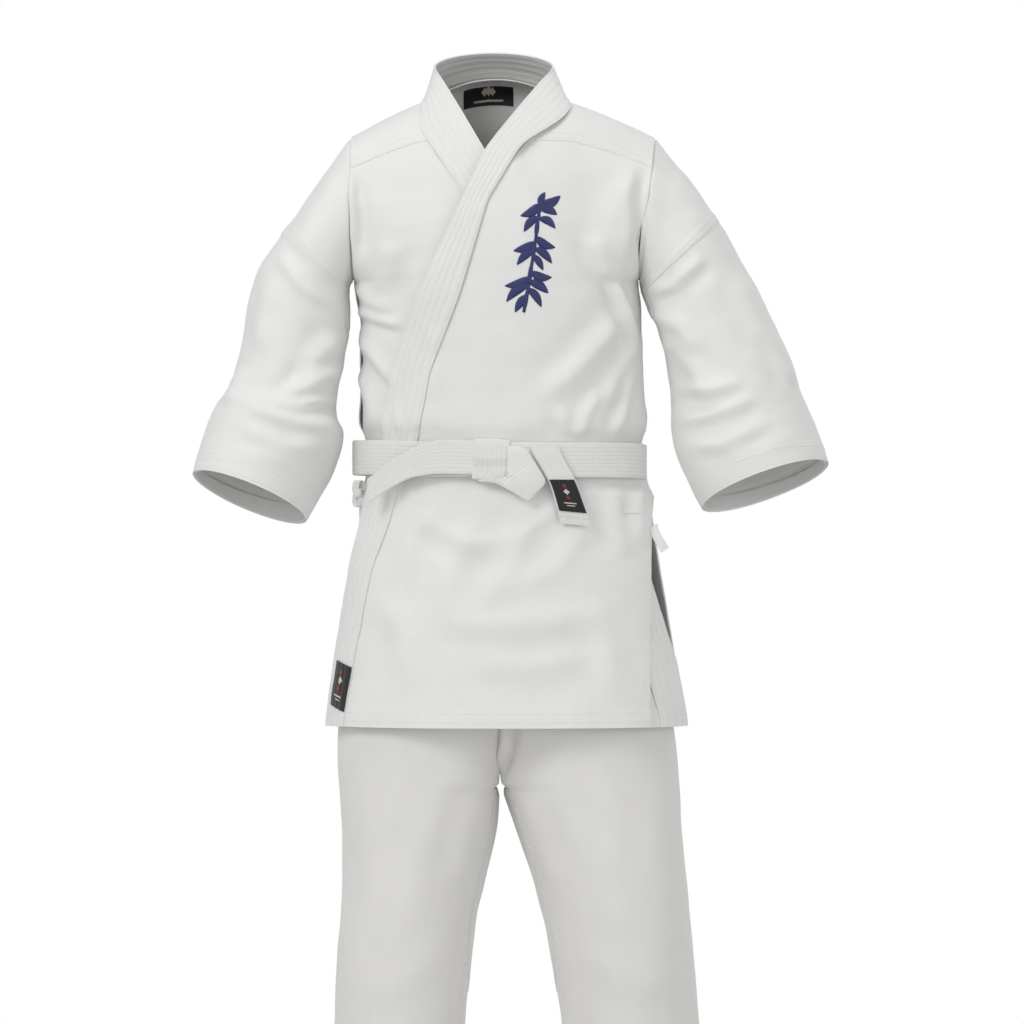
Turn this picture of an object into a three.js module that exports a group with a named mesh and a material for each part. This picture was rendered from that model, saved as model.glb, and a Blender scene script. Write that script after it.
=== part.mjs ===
// A martial arts uniform on an invisible wearer: a crossed jacket with side vents, its tied belt,
// and loose trousers. Millimetres, +Z up, the front faces -Y, and the wearer's left is +X.
// The origin lies on the centre line between the shoulders, level with the base of the collar.
import * as THREE from "three";

// ---- Driving sizes ----
const clothThickness = 1.6;
const bandThickness = 2.0;
const beltThickness = 2.2;
const beltWidth = 40;
const layerGap = 0.9; // between cloths that lie on each other
const jointGap = clothThickness / 2; // between pieces that meet edge to edge
const shoulderHalf = 177; // from the centre line to the shoulder tip
const shoulderTipZ = -41;
const neckCentre = -8; // the wearer's head leans a little to the right
const neckHalf = 86; // the neck hole, at the shoulder line
const armholeDepth = 78; // half the armhole, front to back
const armpitZ = -206;
const yokeSeamZ = -42;
const beltZ = -414;
const beltTilt = 0.013; // the belt sinks towards the wearer's left
const waistFlat = beltWidth / 2 + 4; // the waist is straight this far above and below the belt's middle
const skirtZ = -490; // below the belt's ends, where the skirt starts to lift
const hemZ = -721;
const hipsZ = -575; // from here the skirts flare in a straight line down to the hem
const skirtDrop = hipsZ - hemZ;
const sleeveTurnup = 22;
const legTurnup = 30;
const waistZ = -400;
const waistbandHeight = 38;
const crotchZ = -790;
const kneeZ = -1040;
const legHemZ = -1370;
const calfZ = kneeZ + 0.485 * (legHemZ - kneeZ);
const flatness = 2.12; // exponent of the torso's rounded section

// ---- Torso stations: height, side at -X, side at +X, depth in front, depth behind ----
const hips = [-180, 189, 121, 116];
const skirtFlare = [-0.137, 0.1644, 0.1027, 0.0959]; // how much each of these grows per millimetre of drop
const torsoStations = [
  [hemZ, ...hips.map((size, i) => size + skirtFlare[i] * skirtDrop)],
  [hipsZ, ...hips],
  [skirtZ, -167, 174, 110, 104],
  [beltZ - waistFlat, -158.5, 160.5, 101.5, 96.5],
  [beltZ + waistFlat, -158.5, 160.5, 101.5, 96],
  [-368, -162, 164, 104, 96],
  [-290, -166, 162, 110, 99],
  [-240, -168, 159, 113, 102],
  [armpitZ, -173, 157, 114, 105],
];

// ---- Lines on the front, as height and x ----
const hemEdgeX = -187 - 0.1438 * skirtDrop; // the left front's free edge at the hem
const overEdge = [
  [hemZ, hemEdgeX], [hipsZ, -187], [-448, -159], [-388, -132], [-263, -117], [-235, -100],
  [-102, -39], [-61.5, -19.5],
];
const overSeam = [
  [hemZ, hemEdgeX + 30], [-621, -162], [-528, -143], [-435, -108], [-384, -93], [-316, -82],
  [-224, -48], [-118, -17], [-63, 17], [-23, 47], [6, 78],
];
const underEdge = [
  [-710, 219], [-620, 190], [-552, 168], [skirtZ, 148], [-438, 114], [-388, 106], [-263, 96], [-235, 84],
  [-102, 4], [-61.5, -19.5],
];
const underSeam = [
  [-710, 180], [-620, 153], [-552, 132], [skirtZ, 112], [-438, 78], [-388, 70], [-316, 66], [-224, 30],
  [-107, -45], [-63, -76], [-33, -93], [-2, -94],
];

// ---- Sleeve stations: outer x and z, inner x and z, centre y, half depth, forward tilt ----
const sleeveStations = {
  right: [
    [-shoulderHalf, shoulderTipZ, -174.5, armpitZ, 0, armholeDepth, 0],
    [-255, -150, -178, -220, 0, 80, 0],
    [-293, -218, -178, -263, -1, 81, 0],
    [-313, -321, -193, -352, -4, 84, 4],
    [-332, -352, -184, -384, -9, 88, 8],
    [-350, -399, -197, -428, -16, 89, 11],
    [-358, -431, -227, -482, -26, 84, 12],
  ],
  left: [
    [shoulderHalf, shoulderTipZ, 158.5, armpitZ, 0, armholeDepth, 0],
    [248, -136, 162, -219, 0, 80, 0],
    [275, -183, 172, -250, -1, 81, 0],
    [328, -291, 193, -330, -4, 84, 4],
    [347, -342, 196, -382, -9, 88, 8],
    [366, -388, 207, -425, -16, 91, 11],
    [376, -419, 230, -468, -26, 87, 12],
  ],
};
const seamStation = 1;
const gussetStation = 2;
const elbowStation = 3;

// ---- Trouser stations: height, outer x, inner x, depth in front, depth behind ----
const legStations = {
  right: [
    [waistZ, -146, -4.5, 84, 84],
    [-490, -151, -4.5, 90, 94],
    [-575, -163, -4.5, 97, 103],
    [-650, -177, -4.5, 102, 108],
    [-722, -191, -4.5, 105, 110],
    [crotchZ, -190, -4.5, 106, 110],
    [-850, -188, -11, 105, 108],
    [-930, -188, -31, 102, 104],
    [kneeZ, -193, -44, 96, 98],
    [calfZ, -198, -54, 90, 92],
    [legHemZ, -200, -64, 84, 86],
  ],
  left: [
    [waistZ, 148, -3.5, 84, 84],
    [-490, 154, -3.5, 90, 94],
    [-575, 168, -3.5, 97, 103],
    [-650, 184, -3.5, 102, 108],
    [-722, 198, -3.5, 105, 110],
    [crotchZ, 204, -3.5, 106, 110],
    [-850, 208, 19, 105, 108],
    [-930, 217, 45, 102, 104],
    [kneeZ, 228, 62, 96, 98],
    [calfZ, 238, 82, 90, 92],
    [legHemZ, 246, 102, 84, 86],
  ],
};

const cottonWhite = new THREE.MeshStandardMaterial({ color: 0xe9e9e7, roughness: 0.95, metalness: 0 });
const trouserWhite = new THREE.MeshStandardMaterial({ color: 0xdfdedb, roughness: 0.95, metalness: 0 });
const beltWhite = new THREE.MeshStandardMaterial({ color: 0xe8e8e4, roughness: 0.9, metalness: 0 });
const labelBlack = new THREE.MeshStandardMaterial({ color: 0x17171c, roughness: 0.7, metalness: 0 });
const threadNavy = new THREE.MeshStandardMaterial({ color: 0x2e3468, roughness: 0.6, metalness: 0 });
const elasticWhite = new THREE.MeshStandardMaterial({ color: 0xd8d8d8, roughness: 0.9, metalness: 0 });

const uniform = new THREE.Group();

// ---- Small helpers ----
const mix = (a, b, k) => a + (b - a) * k;
const clamp = (value, low, high) => Math.min(high, Math.max(low, value));
const smooth = (k) => {
  const c = clamp(k, 0, 1);
  return c * c * (3 - 2 * c);
};
const signedPower = (value, power) => Math.sign(value) * Math.abs(value) ** power;
const range = (from, to, count) => Array.from({ length: count + 1 }, (_, i) => mix(from, to, i / count));
const radians = (degrees) => (degrees * Math.PI) / 180;

// Reads a table whose rows start with a height, between its rows, in either order.
function readTable(table, height) {
  const rows = table[0][0] < table[table.length - 1][0] ? table : [...table].reverse();
  if (height <= rows[0][0]) return rows[0].slice(1);
  for (let i = 1; i < rows.length; i++) {
    if (height > rows[i][0]) continue;
    const k = (height - rows[i - 1][0]) / (rows[i][0] - rows[i - 1][0]);
    return rows[i].slice(1).map((value, j) => mix(rows[i - 1][j + 1], value, k));
  }
  return rows[rows.length - 1].slice(1);
}
const lineX = (line, height) => readTable(line, height)[0];

// A thin closed solid on a surface: surface(u, v) is a point, and the cloth fills the space from
// offset(u, v) down to offset - thickness, along the surface's outward normal.
function clothMesh(name, material, surface, us, vs, options = {}) {
  const { thickness = clothThickness, offset = () => 0, closed = false, flip = false } = options;
  const step = 1e-4;
  const normalAt = (u, v) => {
    const along = surface(u + step, v).sub(surface(u - step, v));
    const across = surface(u, v + step).sub(surface(u, v - step));
    const normal = along.cross(across).normalize();
    return flip ? normal.negate() : normal;
  };
  const count = us.length * vs.length;
  const positions = [];
  for (const depth of [0, thickness])
    for (const v of vs)
      for (const u of us) {
        const p = surface(u, v).addScaledVector(normalAt(u, v), offset(u, v) - depth);
        positions.push(p.x, p.y, p.z);
      }
  const at = (i, j, layer) => layer * count + j * us.length + (i % us.length);
  const indices = [];
  const quad = (a, b, c, d) => indices.push(a, b, c, a, c, d);
  const columns = closed ? us.length : us.length - 1;
  for (let j = 0; j + 1 < vs.length; j++)
    for (let i = 0; i < columns; i++) {
      quad(at(i, j, 0), at(i + 1, j, 0), at(i + 1, j + 1, 0), at(i, j + 1, 0));
      quad(at(i, j, 1), at(i, j + 1, 1), at(i + 1, j + 1, 1), at(i + 1, j, 1));
    }
  const top = vs.length - 1;
  for (let i = 0; i < columns; i++) {
    quad(at(i, 0, 0), at(i, 0, 1), at(i + 1, 0, 1), at(i + 1, 0, 0));
    quad(at(i, top, 0), at(i + 1, top, 0), at(i + 1, top, 1), at(i, top, 1));
  }
  if (!closed)
    for (let j = 0; j < top; j++) {
      const last = us.length - 1;
      quad(at(0, j, 0), at(0, j + 1, 0), at(0, j + 1, 1), at(0, j, 1));
      quad(at(last, j, 0), at(last, j, 1), at(last, j + 1, 1), at(last, j + 1, 0));
    }
  const geometry = new THREE.BufferGeometry();
  geometry.setAttribute("position", new THREE.Float32BufferAttribute(positions, 3));
  geometry.setIndex(flip ? indices.reverse() : indices);
  return addMesh(name, material, geometry);
}

function addMesh(name, material, geometry) {
  geometry.computeVertexNormals();
  const mesh = new THREE.Mesh(geometry, material);
  mesh.name = name;
  uniform.add(mesh);
  return mesh;
}

const asVector = (p) => new THREE.Vector3(...p);

// ---- The torso's surface ----
// The shoulder line falls from the neck hole to the shoulder tip.
function shoulderLineZ(x) {
  const neckSide = neckCentre + Math.sign(x) * neckHalf;
  const outwards = (x - neckSide) / (Math.sign(x) * shoulderHalf - neckSide);
  return shoulderTipZ * Math.max(0, outwards) ** 1.15;
}
// Behind the neck the back rises to meet the collar.
const neckRise = (x) => Math.max(0, 1 - ((x - neckCentre) / neckHalf) ** 2);
const backNeckRise = 32;
const backNeckDepth = 60;

// side is -1 in front and +1 behind, across runs from 0 at -X to 1 at +X, and height is nominal:
// above the armpit its lines bend until the topmost one is the shoulder line.
function torsoPoint(side, across, height) {
  const [left, right, front, back] = readTable(torsoStations, height);
  const rise = clamp((height - armpitZ) / (0 - armpitZ), 0, 1);
  const turn = -Math.cos(Math.PI * across);
  const rounded = signedPower(turn, 2 / flatness);
  const share = mix(rounded, 2 * across - 1, smooth(rise / 0.25));
  const low = mix(left, -shoulderHalf, rise);
  const high = mix(right, shoulderHalf, rise);
  const x = mix(low, high, (share + 1) / 2);
  const deep = side < 0 ? front : back;
  const crown = (1 - rise ** 2.6) ** (1 / 2.6);
  const armhole = armholeDepth * Math.sqrt(Math.max(0, 1 - (2 * rise - 1) ** 2));
  const bulge = (1 - Math.min(1, Math.abs(share)) ** flatness) ** (1 / flatness);
  let depth = deep * crown * bulge + armhole * (1 - bulge) * Math.abs(share) ** 3;
  let top = shoulderLineZ(x);
  if (side > 0) {
    top += backNeckRise * neckRise(x);
    depth += backNeckDepth * Math.sqrt(neckRise(x)) * rise ** 4;
  }
  depth += (jointGap / 2) * rise ** 20; // the front and the back stay apart along the shoulder
  const z = height > armpitZ ? mix(armpitZ, top, rise) : height;
  return new THREE.Vector3(x, side * depth, z);
}

const sideGap = 0.0006; // of the width across, which leaves jointGap at a side seam

// The share across the front at which a line crosses a nominal height, kept clear of the side seams.
function acrossOf(line, height, side = -1) {
  let low = 0;
  let high = 1;
  for (let i = 0; i < 40; i++) {
    const middle = (low + high) / 2;
    const p = torsoPoint(side, middle, height);
    if (p.x < lineX(line, p.z)) low = middle;
    else high = middle;
  }
  return clamp((low + high) / 2, sideGap, 1 - sideGap);
}
const straightLine = (x) => [[-2000, x], [2000, x]];

// ---- Cloth layers in front, from the inside out: outer face of each ----
const underBandOffset = layerGap + bandThickness;
const overCloth = underBandOffset + layerGap + clothThickness;
const overBandOffset = overCloth + layerGap + bandThickness;
const waistRound = 1.4; // how far the waist falls away across the knot's width
const knotTunnel = overCloth + layerGap + beltThickness + waistRound;
const beltInnerOffset = Math.max(overBandOffset, knotTunnel) + layerGap + beltThickness;
const beltOuterOffset = beltInnerOffset + layerGap + beltThickness;

// The left front rises only where it lies over the right front, a little more near the crossing.
const crossingRoom = 1.9; // extra height of the cloth there
const crossingBandRoom = 1.3; // and of the band on it
const crossingStartsZ = -330;
const crossingRun = 110; // height over which the extra grows
const liftReach = 46; // how far past the right front's edge the left front has come down
const liftRamp = 30; // width over which it comes down
const crossingShare = (p) => smooth((p.z - crossingStartsZ) / crossingRun);
function overLift(p) {
  const reach = lineX(underEdge, p.z) + liftReach - p.x;
  return (overCloth + crossingRoom * crossingShare(p)) * smooth(reach / liftRamp);
}
const overBandLift = (p) => overLift(p) + layerGap + bandThickness + crossingBandRoom * crossingShare(p);

const upperRows = [
  skirtZ + jointGap / 2, -463, beltZ - waistFlat + 2, beltZ + waistFlat - 2, -345, -290, -256, -229,
  armpitZ, -165, -133, -107, -83, -62, yokeSeamZ - jointGap / 2,
];
const skirtRows = [
  hemZ, hipsZ - 0.65 * skirtDrop, hipsZ - 0.315 * skirtDrop, hipsZ, -532, skirtZ - jointGap / 2,
];
const yokeRows = [yokeSeamZ + jointGap, -28, -14, -5, -1.4, -0.2, 0];

// A torso panel between two limits, each a function of nominal height.
function torsoPanel(name, side, from, to, rows, columns, options = {}) {
  const limits = new Map();
  const limitsAt = (height) => {
    const key = height.toFixed(5);
    if (!limits.has(key)) limits.set(key, [from(height), to(height)]);
    return limits.get(key);
  };
  const surface = (u, height) => torsoPoint(side, mix(...limitsAt(height), u), height);
  const { lift = () => 0, thickness } = options;
  return clothMesh(name, options.material ?? cottonWhite, surface, range(0, 1, columns), rows, {
    thickness,
    offset: (u, height) => lift(surface(u, height)),
    flip: side > 0,
  });
}
const rightSide = () => sideGap;
const leftSide = () => 1 - sideGap;
const flapEdgeX = 166; // the left front's straight vent edge
const flapSide = (height) => Math.min(leftSide(), acrossOf(straightLine(flapEdgeX), height));

const drawBackZ = -107; // the cloth starts to draw back to the band's seam here
const drawBackRun = 24;
const underVentShare = 0.03; // the right front's skirt stops this much of the width short of the side

function jacketFronts() {
  // Above the crossing only the band goes on to the neck, so the cloth draws back to its seam.
  const drawnBack = (edge, seam) => (height) =>
    mix(acrossOf(edge, height), acrossOf(seam, height), smooth((height - drawBackZ) / drawBackRun));
  const underLimit = drawnBack(underEdge, underSeam);
  const overLimit = drawnBack(overEdge, overSeam);
  torsoPanel("front_right_panel", -1, rightSide, underLimit, upperRows, 22);
  torsoPanel("front_left_panel", -1, overLimit, leftSide, upperRows, 26, { lift: overLift });
  torsoPanel("front_right_skirt", -1, () => underVentShare, underLimit, skirtRows, 28);
  torsoPanel("front_left_skirt", -1, overLimit, flapSide, skirtRows, 26, { lift: () => overCloth });
}

const yokeTipShare = 0.004; // of the width across, kept clear of the drop shoulder
const yokeBandShare = 0.01; // and of the band's seam

function jacketBack() {
  const yokeRight = () => yokeTipShare;
  const yokeLeft = () => 1 - yokeTipShare;
  const beforeRightBand = (height) => acrossOf(underSeam, height) - yokeBandShare;
  const afterLeftBand = (height) => acrossOf(overSeam, height) + yokeBandShare;
  torsoPanel("back_panel", 1, rightSide, leftSide, upperRows, 24);
  torsoPanel("back_skirt", 1, rightSide, leftSide, skirtRows, 28);
  torsoPanel("back_yoke", 1, yokeRight, yokeLeft, yokeRows, 22);
  torsoPanel("front_yoke_right", -1, yokeRight, beforeRightBand, yokeRows, 6);
  torsoPanel("front_yoke_left", -1, afterLeftBand, yokeLeft, yokeRows, 6);
}

// ---- Collar and lapel bands ----
const collarEdgeHalf = 67.5; // the collar's top edge is narrower than its seam
const collarTop = [neckCentre - 2.5, 40, 19]; // centre of the top edge, its height in front, its rise behind
const collarLean = [-6, 45]; // where the top edge starts, front to back, and how far behind it goes
const collarLap = 5; // the band covers this much of the cloth below the neck hole
const collarSeamShare = 0.985; // of the neck hole's half width, where the band is sewn on

// A band lies between its seam, on the cloth, and its free edge.
function neckEdge(turn) {
  const [x, z, rise] = collarTop;
  const [start, deep] = collarLean;
  const behind = Math.sin(Math.PI * turn);
  const across = -collarEdgeHalf * Math.cos(Math.PI * turn);
  return new THREE.Vector3(x + across, start + deep * behind, z + rise * behind);
}

function collar() {
  const surface = (turn, v) => {
    const x = neckCentre - neckHalf * collarSeamShare * Math.cos(Math.PI * turn);
    const seam = torsoPoint(1, acrossOf(straightLine(x), -collarLap, 1), -collarLap);
    return seam.lerp(neckEdge(turn), v);
  };
  clothMesh("collar_band", cottonWhite, surface, range(0.02, 0.98, 16), range(0, 1, 2), {
    thickness: bandThickness,
    offset: () => underBandOffset,
    flip: true,
  });
}

// A lapel lies on the front between its seam and its free edge.
function lapelBand(name, seamLine, edgeLine, rows, lift) {
  const surface = (u, height) => {
    const seam = acrossOf(seamLine, height);
    const edge = acrossOf(edgeLine, height);
    return torsoPoint(-1, mix(seam, edge, u), height);
  };
  const outwards = Math.sign(lineX(edgeLine, beltZ) - lineX(seamLine, beltZ));
  return clothMesh(name, cottonWhite, surface, range(0, 1, 4), rows, {
    thickness: bandThickness,
    offset: (u, height) => lift(surface(u, height)),
    flip: outwards < 0,
  });
}

// From the crossing up to the neck a lapel leaves the cloth and turns up into the collar.
const crossingZ = -61.5;
const neckLapelBow = 10; // how far its edge bows forwards
function neckLapel(name, seamLine, side, lift) {
  const low = crossingZ;
  const edgeFoot = torsoPoint(-1, acrossOf(overEdge, low), low);
  const edgeTop = neckEdge(side < 0 ? 0 : 1);
  const seamTopX = neckCentre + side * neckHalf;
  const surface = (u, v) => {
    const height = mix(low, 0, v);
    const x = mix(lineX(seamLine, height), seamTopX, smooth(v));
    const seam = torsoPoint(-1, acrossOf(straightLine(x), height), height);
    const edge = edgeFoot.clone().lerp(edgeTop, v);
    edge.y -= neckLapelBow * Math.sin(Math.PI * v);
    return seam.lerp(edge, u);
  };
  return clothMesh(name, cottonWhite, surface, range(0, 1, 3), range(0.015, 0.985, 8), {
    thickness: bandThickness,
    offset: (u, v) => mix(lift, underBandOffset, smooth(v / 0.8)),
    flip: side > 0,
  });
}

function lapels() {
  const lapelRows = upperRows.filter((height) => height < crossingZ);
  lapelBand("lapel_right", underSeam, underEdge, lapelRows, () => underBandOffset);
  lapelBand("lapel_left", overSeam, overEdge, lapelRows, overBandLift);
  lapelBand("lapel_right_skirt", underSeam, underEdge, skirtRows, () => underBandOffset);
  lapelBand("lapel_left_skirt", overSeam, overEdge, skirtRows, () => overBandOffset);
  neckLapel("lapel_right_neck", underSeam, -1, underBandOffset);
  neckLapel("lapel_left_neck", overSeam, 1, overBandOffset + crossingRoom);
}

// ---- Sleeves ----
const armColumns = 18;
const gussetHalfAngle = 20;
const gussetGapAngle = jointGap / 2; // a degree round a sleeve is somewhat over a millimetre
const stationSlant = 1.3; // the rings lie aslant, so a gap along the arm is wider than across it
const lastStationLength = 52; // along the arm, between the last two stations

// A point on a sleeve: turn is 0 at the outer edge and 180 at the inner one, and station counts
// along the arm.
function sleevePoint(stations, side, turn, station) {
  const at = clamp(station, 0, stations.length - 1 - 1e-9);
  const i = Math.floor(at);
  const next = stations[i + 1];
  const [ox, oz, ix, iz, cy, deep, tilt] = stations[i].map((value, j) => mix(value, next[j], at - i));
  const outer = new THREE.Vector3(ox, cy, oz);
  const inner = new THREE.Vector3(ix, cy, iz);
  const centre = outer.clone().lerp(inner, 0.5);
  const angle = radians(turn);
  const front = new THREE.Vector3(0, -Math.cos(radians(tilt)), Math.sin(radians(tilt)));
  return centre
    .clone()
    .addScaledVector(outer.sub(centre), Math.cos(angle))
    .addScaledVector(front, -side * deep * Math.sin(angle));
}

function sleeve(word, side) {
  const stations = sleeveStations[word];
  const surface = (turn, station) => sleevePoint(stations, side, turn * 360, station);
  const bodyHalf = (180 - gussetHalfAngle - gussetGapAngle) / 360;
  const body = range(-bodyHalf, bodyHalf, armColumns - 2);
  const under = range((180 - gussetHalfAngle) / 360, (180 + gussetHalfAngle) / 360, 2);
  const around = range(0, 1, armColumns).slice(0, -1);
  // Half a joint's gap, as a share of the stretch from station i to the next.
  const gapAt = (i) => {
    const [a, b] = [stations[i], stations[i + 1]];
    const run = Math.hypot((b[0] + b[2] - a[0] - a[2]) / 2, (b[1] + b[3] - a[1] - a[3]) / 2);
    return (jointGap * stationSlant) / 2 / run;
  };
  const last = stations.length - 1;
  const turnupStart = last - sleeveTurnup / lastStationLength;
  const forearmRows = [elbowStation + gapAt(elbowStation), 4, 5, last];
  const whole = { closed: true };
  const between = (from, to, inside = []) => [from + gapAt(from), ...inside, to - gapAt(to - 1)];
  clothMesh(`drop_shoulder_${word}`, cottonWhite, surface, body, between(0, seamStation, [0.5]));
  clothMesh(`underarm_gusset_${word}`, cottonWhite, surface, under, between(0, gussetStation, [0.5, 1]));
  clothMesh(`upper_sleeve_${word}`, cottonWhite, surface, body, between(seamStation, gussetStation));
  clothMesh(`sleeve_body_${word}`, cottonWhite, surface, around, between(gussetStation, elbowStation), whole);
  clothMesh(`forearm_sleeve_${word}`, cottonWhite, surface, around, forearmRows, whole);
  clothMesh(`cuff_turnup_${word}`, cottonWhite, surface, around, [turnupStart, last], {
    closed: true,
    offset: () => -clothThickness - layerGap,
  });
}

// ---- Belt ----
const frontEnds = 0.8; // where the belt starts to come down onto one cloth, going round from -X
const backEnds = 1.85; // and where it starts to rise again
// The belt's wraps run round the waist on top of every layer of cloth there.
function beltRing(name, outerOffset) {
  const surface = (turn, v) => {
    const whole = (turn + 1) % 1;
    const side = whole < 0.5 ? -1 : 1;
    const across = side < 0 ? 2 * whole : 2 - 2 * whole;
    const p = torsoPoint(side, across, beltZ);
    p.z = beltZ - beltTilt * p.x + v;
    return p;
  };
  // All the layers lie in front and round the side at -X; elsewhere the belt lies on one cloth.
  const frontShare = (turn) => {
    const half = 2 * (turn % 1); // 0 to 1 across the front, 1 to 2 across the back
    const down = 1 - smooth((half - frontEnds) / (1 - frontEnds));
    const up = smooth((half - backEnds) / (2 - backEnds));
    return half < 1 ? down : up;
  };
  const snug = outerOffset - beltInnerOffset + layerGap + beltThickness;
  clothMesh(name, beltWhite, surface, range(0, 1, 48).slice(0, -1), [-beltWidth / 2, beltWidth / 2], {
    thickness: beltThickness,
    closed: true,
    offset: (turn) => mix(snug, outerOffset, frontShare(turn)),
  });
}

// A flat plate cut to an outline of x and z, standing in front of the waist from y = back to front.
function plate(name, material, outline, back, front) {
  const shape = new THREE.Shape(outline.map(([x, z]) => new THREE.Vector2(x, z)));
  const geometry = new THREE.ExtrudeGeometry(shape, { depth: back - front, bevelEnabled: false });
  geometry.rotateX(Math.PI / 2);
  geometry.translate(0, back, 0);
  return addMesh(name, material, geometry);
}

// ---- Knot and tails ----
const beltHalf = beltWidth / 2;
const waistFront = readTable(torsoStations, beltZ)[2];
const wrapFace = waistFront + beltOuterOffset;
const knotLeft = -34.5;
const knotRight = 7;
const knotFace = wrapFace + layerGap + beltThickness;

function knotBand() {
  const high = beltHalf + layerGap + beltThickness;
  const tunnelBack = waistFront + overCloth + layerGap;
  const outline = new THREE.Shape();
  const inside = new THREE.Path();
  const box = (path, low, top, half) => {
    path.moveTo(low, -half);
    path.lineTo(top, -half);
    path.lineTo(top, half);
    path.lineTo(low, half);
    path.closePath();
  };
  box(outline, tunnelBack, knotFace, high);
  box(inside, tunnelBack + beltThickness, wrapFace + layerGap, beltHalf + layerGap);
  outline.holes.push(inside);
  const geometry = new THREE.ExtrudeGeometry(outline, { depth: knotRight - knotLeft, bevelEnabled: false });
  const axes = [[0, -1, 0], [0, 0, -1], [1, 0, 0]].map(asVector);
  geometry.applyMatrix4(new THREE.Matrix4().makeBasis(...axes));
  geometry.translate(knotLeft, 0, beltZ);
  return addMesh("belt_knot_band", beltWhite, geometry);
}

// The folded end's corners beside and below the band, as x and the height from the belt's middle.
const foldCorners = [[27, 13], [50.6, -26], [27, -50], [9, -36]];
const foldRoot = 16; // its upper corner beside the band
const foldStartX = -30; // where it comes out below the band
const foldLayers = 3;
function knotFold() {
  const below = beltZ - beltHalf - layerGap - beltThickness - layerGap;
  const outline = [
    [knotRight + layerGap, beltZ + foldRoot], ...foldCorners.map(([x, z]) => [x, beltZ + z]),
    [foldStartX, below - 1], [foldStartX, below], [knotRight + layerGap, below],
  ];
  const back = -wrapFace - layerGap;
  plate("belt_knot_fold", beltWhite, outline, back, back - foldLayers * beltThickness);
}

// The tails are stiff, so they leave the waist on straighter lines than the wraps.
const rightTailEndX = -155.5;
const rightTailSweep = 24; // how far its end stands back from its root
const rightTailTop = [[-155, -438], [-138, -422], [-105, -401], [-83, -393], [-63, -391], [-36, -392.5]];
const rightTailFoot = [[-156, -466], [-138, -452], [-108, -435], [-78, -430], [-36, -431]];
function rightTail() {
  const root = knotLeft - layerGap;
  const surface = (u, v) => {
    const x = mix(root, rightTailEndX, u);
    const away = rightTailSweep * Math.abs(u) ** 1.5;
    return new THREE.Vector3(x, away - knotFace, mix(lineX(rightTailFoot, x), lineX(rightTailTop, x), v));
  };
  clothMesh("belt_tail_right", beltWhite, surface, range(0, 1, 9), [0, 1], {
    thickness: beltThickness,
    flip: true,
  });
}

const leftTailTopZ = -399;
const leftTailEndZ = -489;
const leftTailRootX = 28.5;
const leftTailInner = [[leftTailEndZ, 66.7], [-437, 53], [leftTailTopZ, leftTailRootX]];
const leftTailOuter = [[leftTailEndZ, 103], [-438, 84], [leftTailTopZ, 62]];
const tailSlope = 0.13;
const tailInset = 1.2; // the waist falls away from the knot here
function leftTailPoint(u, z, out = 0) {
  const x = mix(lineX(leftTailInner, z), lineX(leftTailOuter, z), u);
  return new THREE.Vector3(x, tailSlope * (x - leftTailRootX) + tailInset - knotFace - out, z);
}
const trimThickness = 0.6;
const beltLabelMargin = 0.04; // of the tail's width, at each side
const beltLabelRows = [-473, -437];
function leftTail() {
  const rows = [leftTailEndZ, -463, -437, -418, leftTailTopZ];
  const onTail = (u, z) => leftTailPoint(u, z, layerGap / 2 + trimThickness);
  clothMesh("belt_tail_left", beltWhite, (u, z) => leftTailPoint(u, z), [0, 1], rows, {
    thickness: beltThickness,
  });
  clothMesh("belt_label", labelBlack, onTail, [beltLabelMargin, 1 - beltLabelMargin], beltLabelRows, {
    thickness: trimThickness,
  });
}

// ---- Labels and embroidery: sides as height and x, and the rows between them ----
const lapelLabelSides = [
  [[hemZ + 21, hemEdgeX + 6], [hemZ + 75, hemEdgeX + 12]],
  [[hemZ + 17, hemEdgeX + 27], [hemZ + 71, hemEdgeX + 37]],
];
const lapelLabelRows = [hemZ + 21, hemZ + 45, hemZ + 71];
const neckLabelSides = [straightLine(-46), straightLine(12)];
const neckLabelRows = [-25, -15, -5];
const motifSides = [[[-240, 4], [-109, 27]], [[-240, 46], [-109, 69]]];
const motifRows = [-229, armpitZ, -165, -133, -107];
function trim(name, side, sides, rows, columns, material, lift) {
  const [from, to] = sides.map((line) => (height) => acrossOf(line, height, side));
  torsoPanel(name, side, from, to, rows, columns, { material, lift, thickness: trimThickness });
}
function trims() {
  const onBand = () => overBandOffset + layerGap + trimThickness;
  const inside = () => -clothThickness - layerGap;
  const onCloth = (p) => overLift(p) + 1.2 * layerGap + trimThickness;
  trim("lapel_label", -1, lapelLabelSides, lapelLabelRows, 3, labelBlack, onBand);
  trim("neck_label", 1, neckLabelSides, neckLabelRows, 4, labelBlack, inside);
  trim("chest_embroidery", -1, motifSides, motifRows, 4, threadNavy, onCloth);
}

// ---- Side ties ----
const bowRadii = [8, 9, 17];
const bowCentre = [-172.2, -34, -452];
const tapeWidth = 10;
const tapeThickness = 1.2;
const tapeRoute = [[173.2, -46, -493], [179, -49, -504], [187, -52, -518]];
function sideTies() {
  const bow = new THREE.SphereGeometry(1, 10, 8);
  bow.scale(...bowRadii).translate(...bowCentre);
  addMesh("side_bow", cottonWhite, bow);
  const route = new THREE.CatmullRomCurve3(tapeRoute.map(asVector));
  const [w, t] = [tapeWidth / 2, tapeThickness / 2];
  const tape = new THREE.Shape([[-t, -w], [t, -w], [t, w], [-t, w]].map(([x, y]) => new THREE.Vector2(x, y)));
  addMesh("side_tie_end", cottonWhite, new THREE.ExtrudeGeometry(tape, { steps: 4, extrudePath: route }));
}

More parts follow.
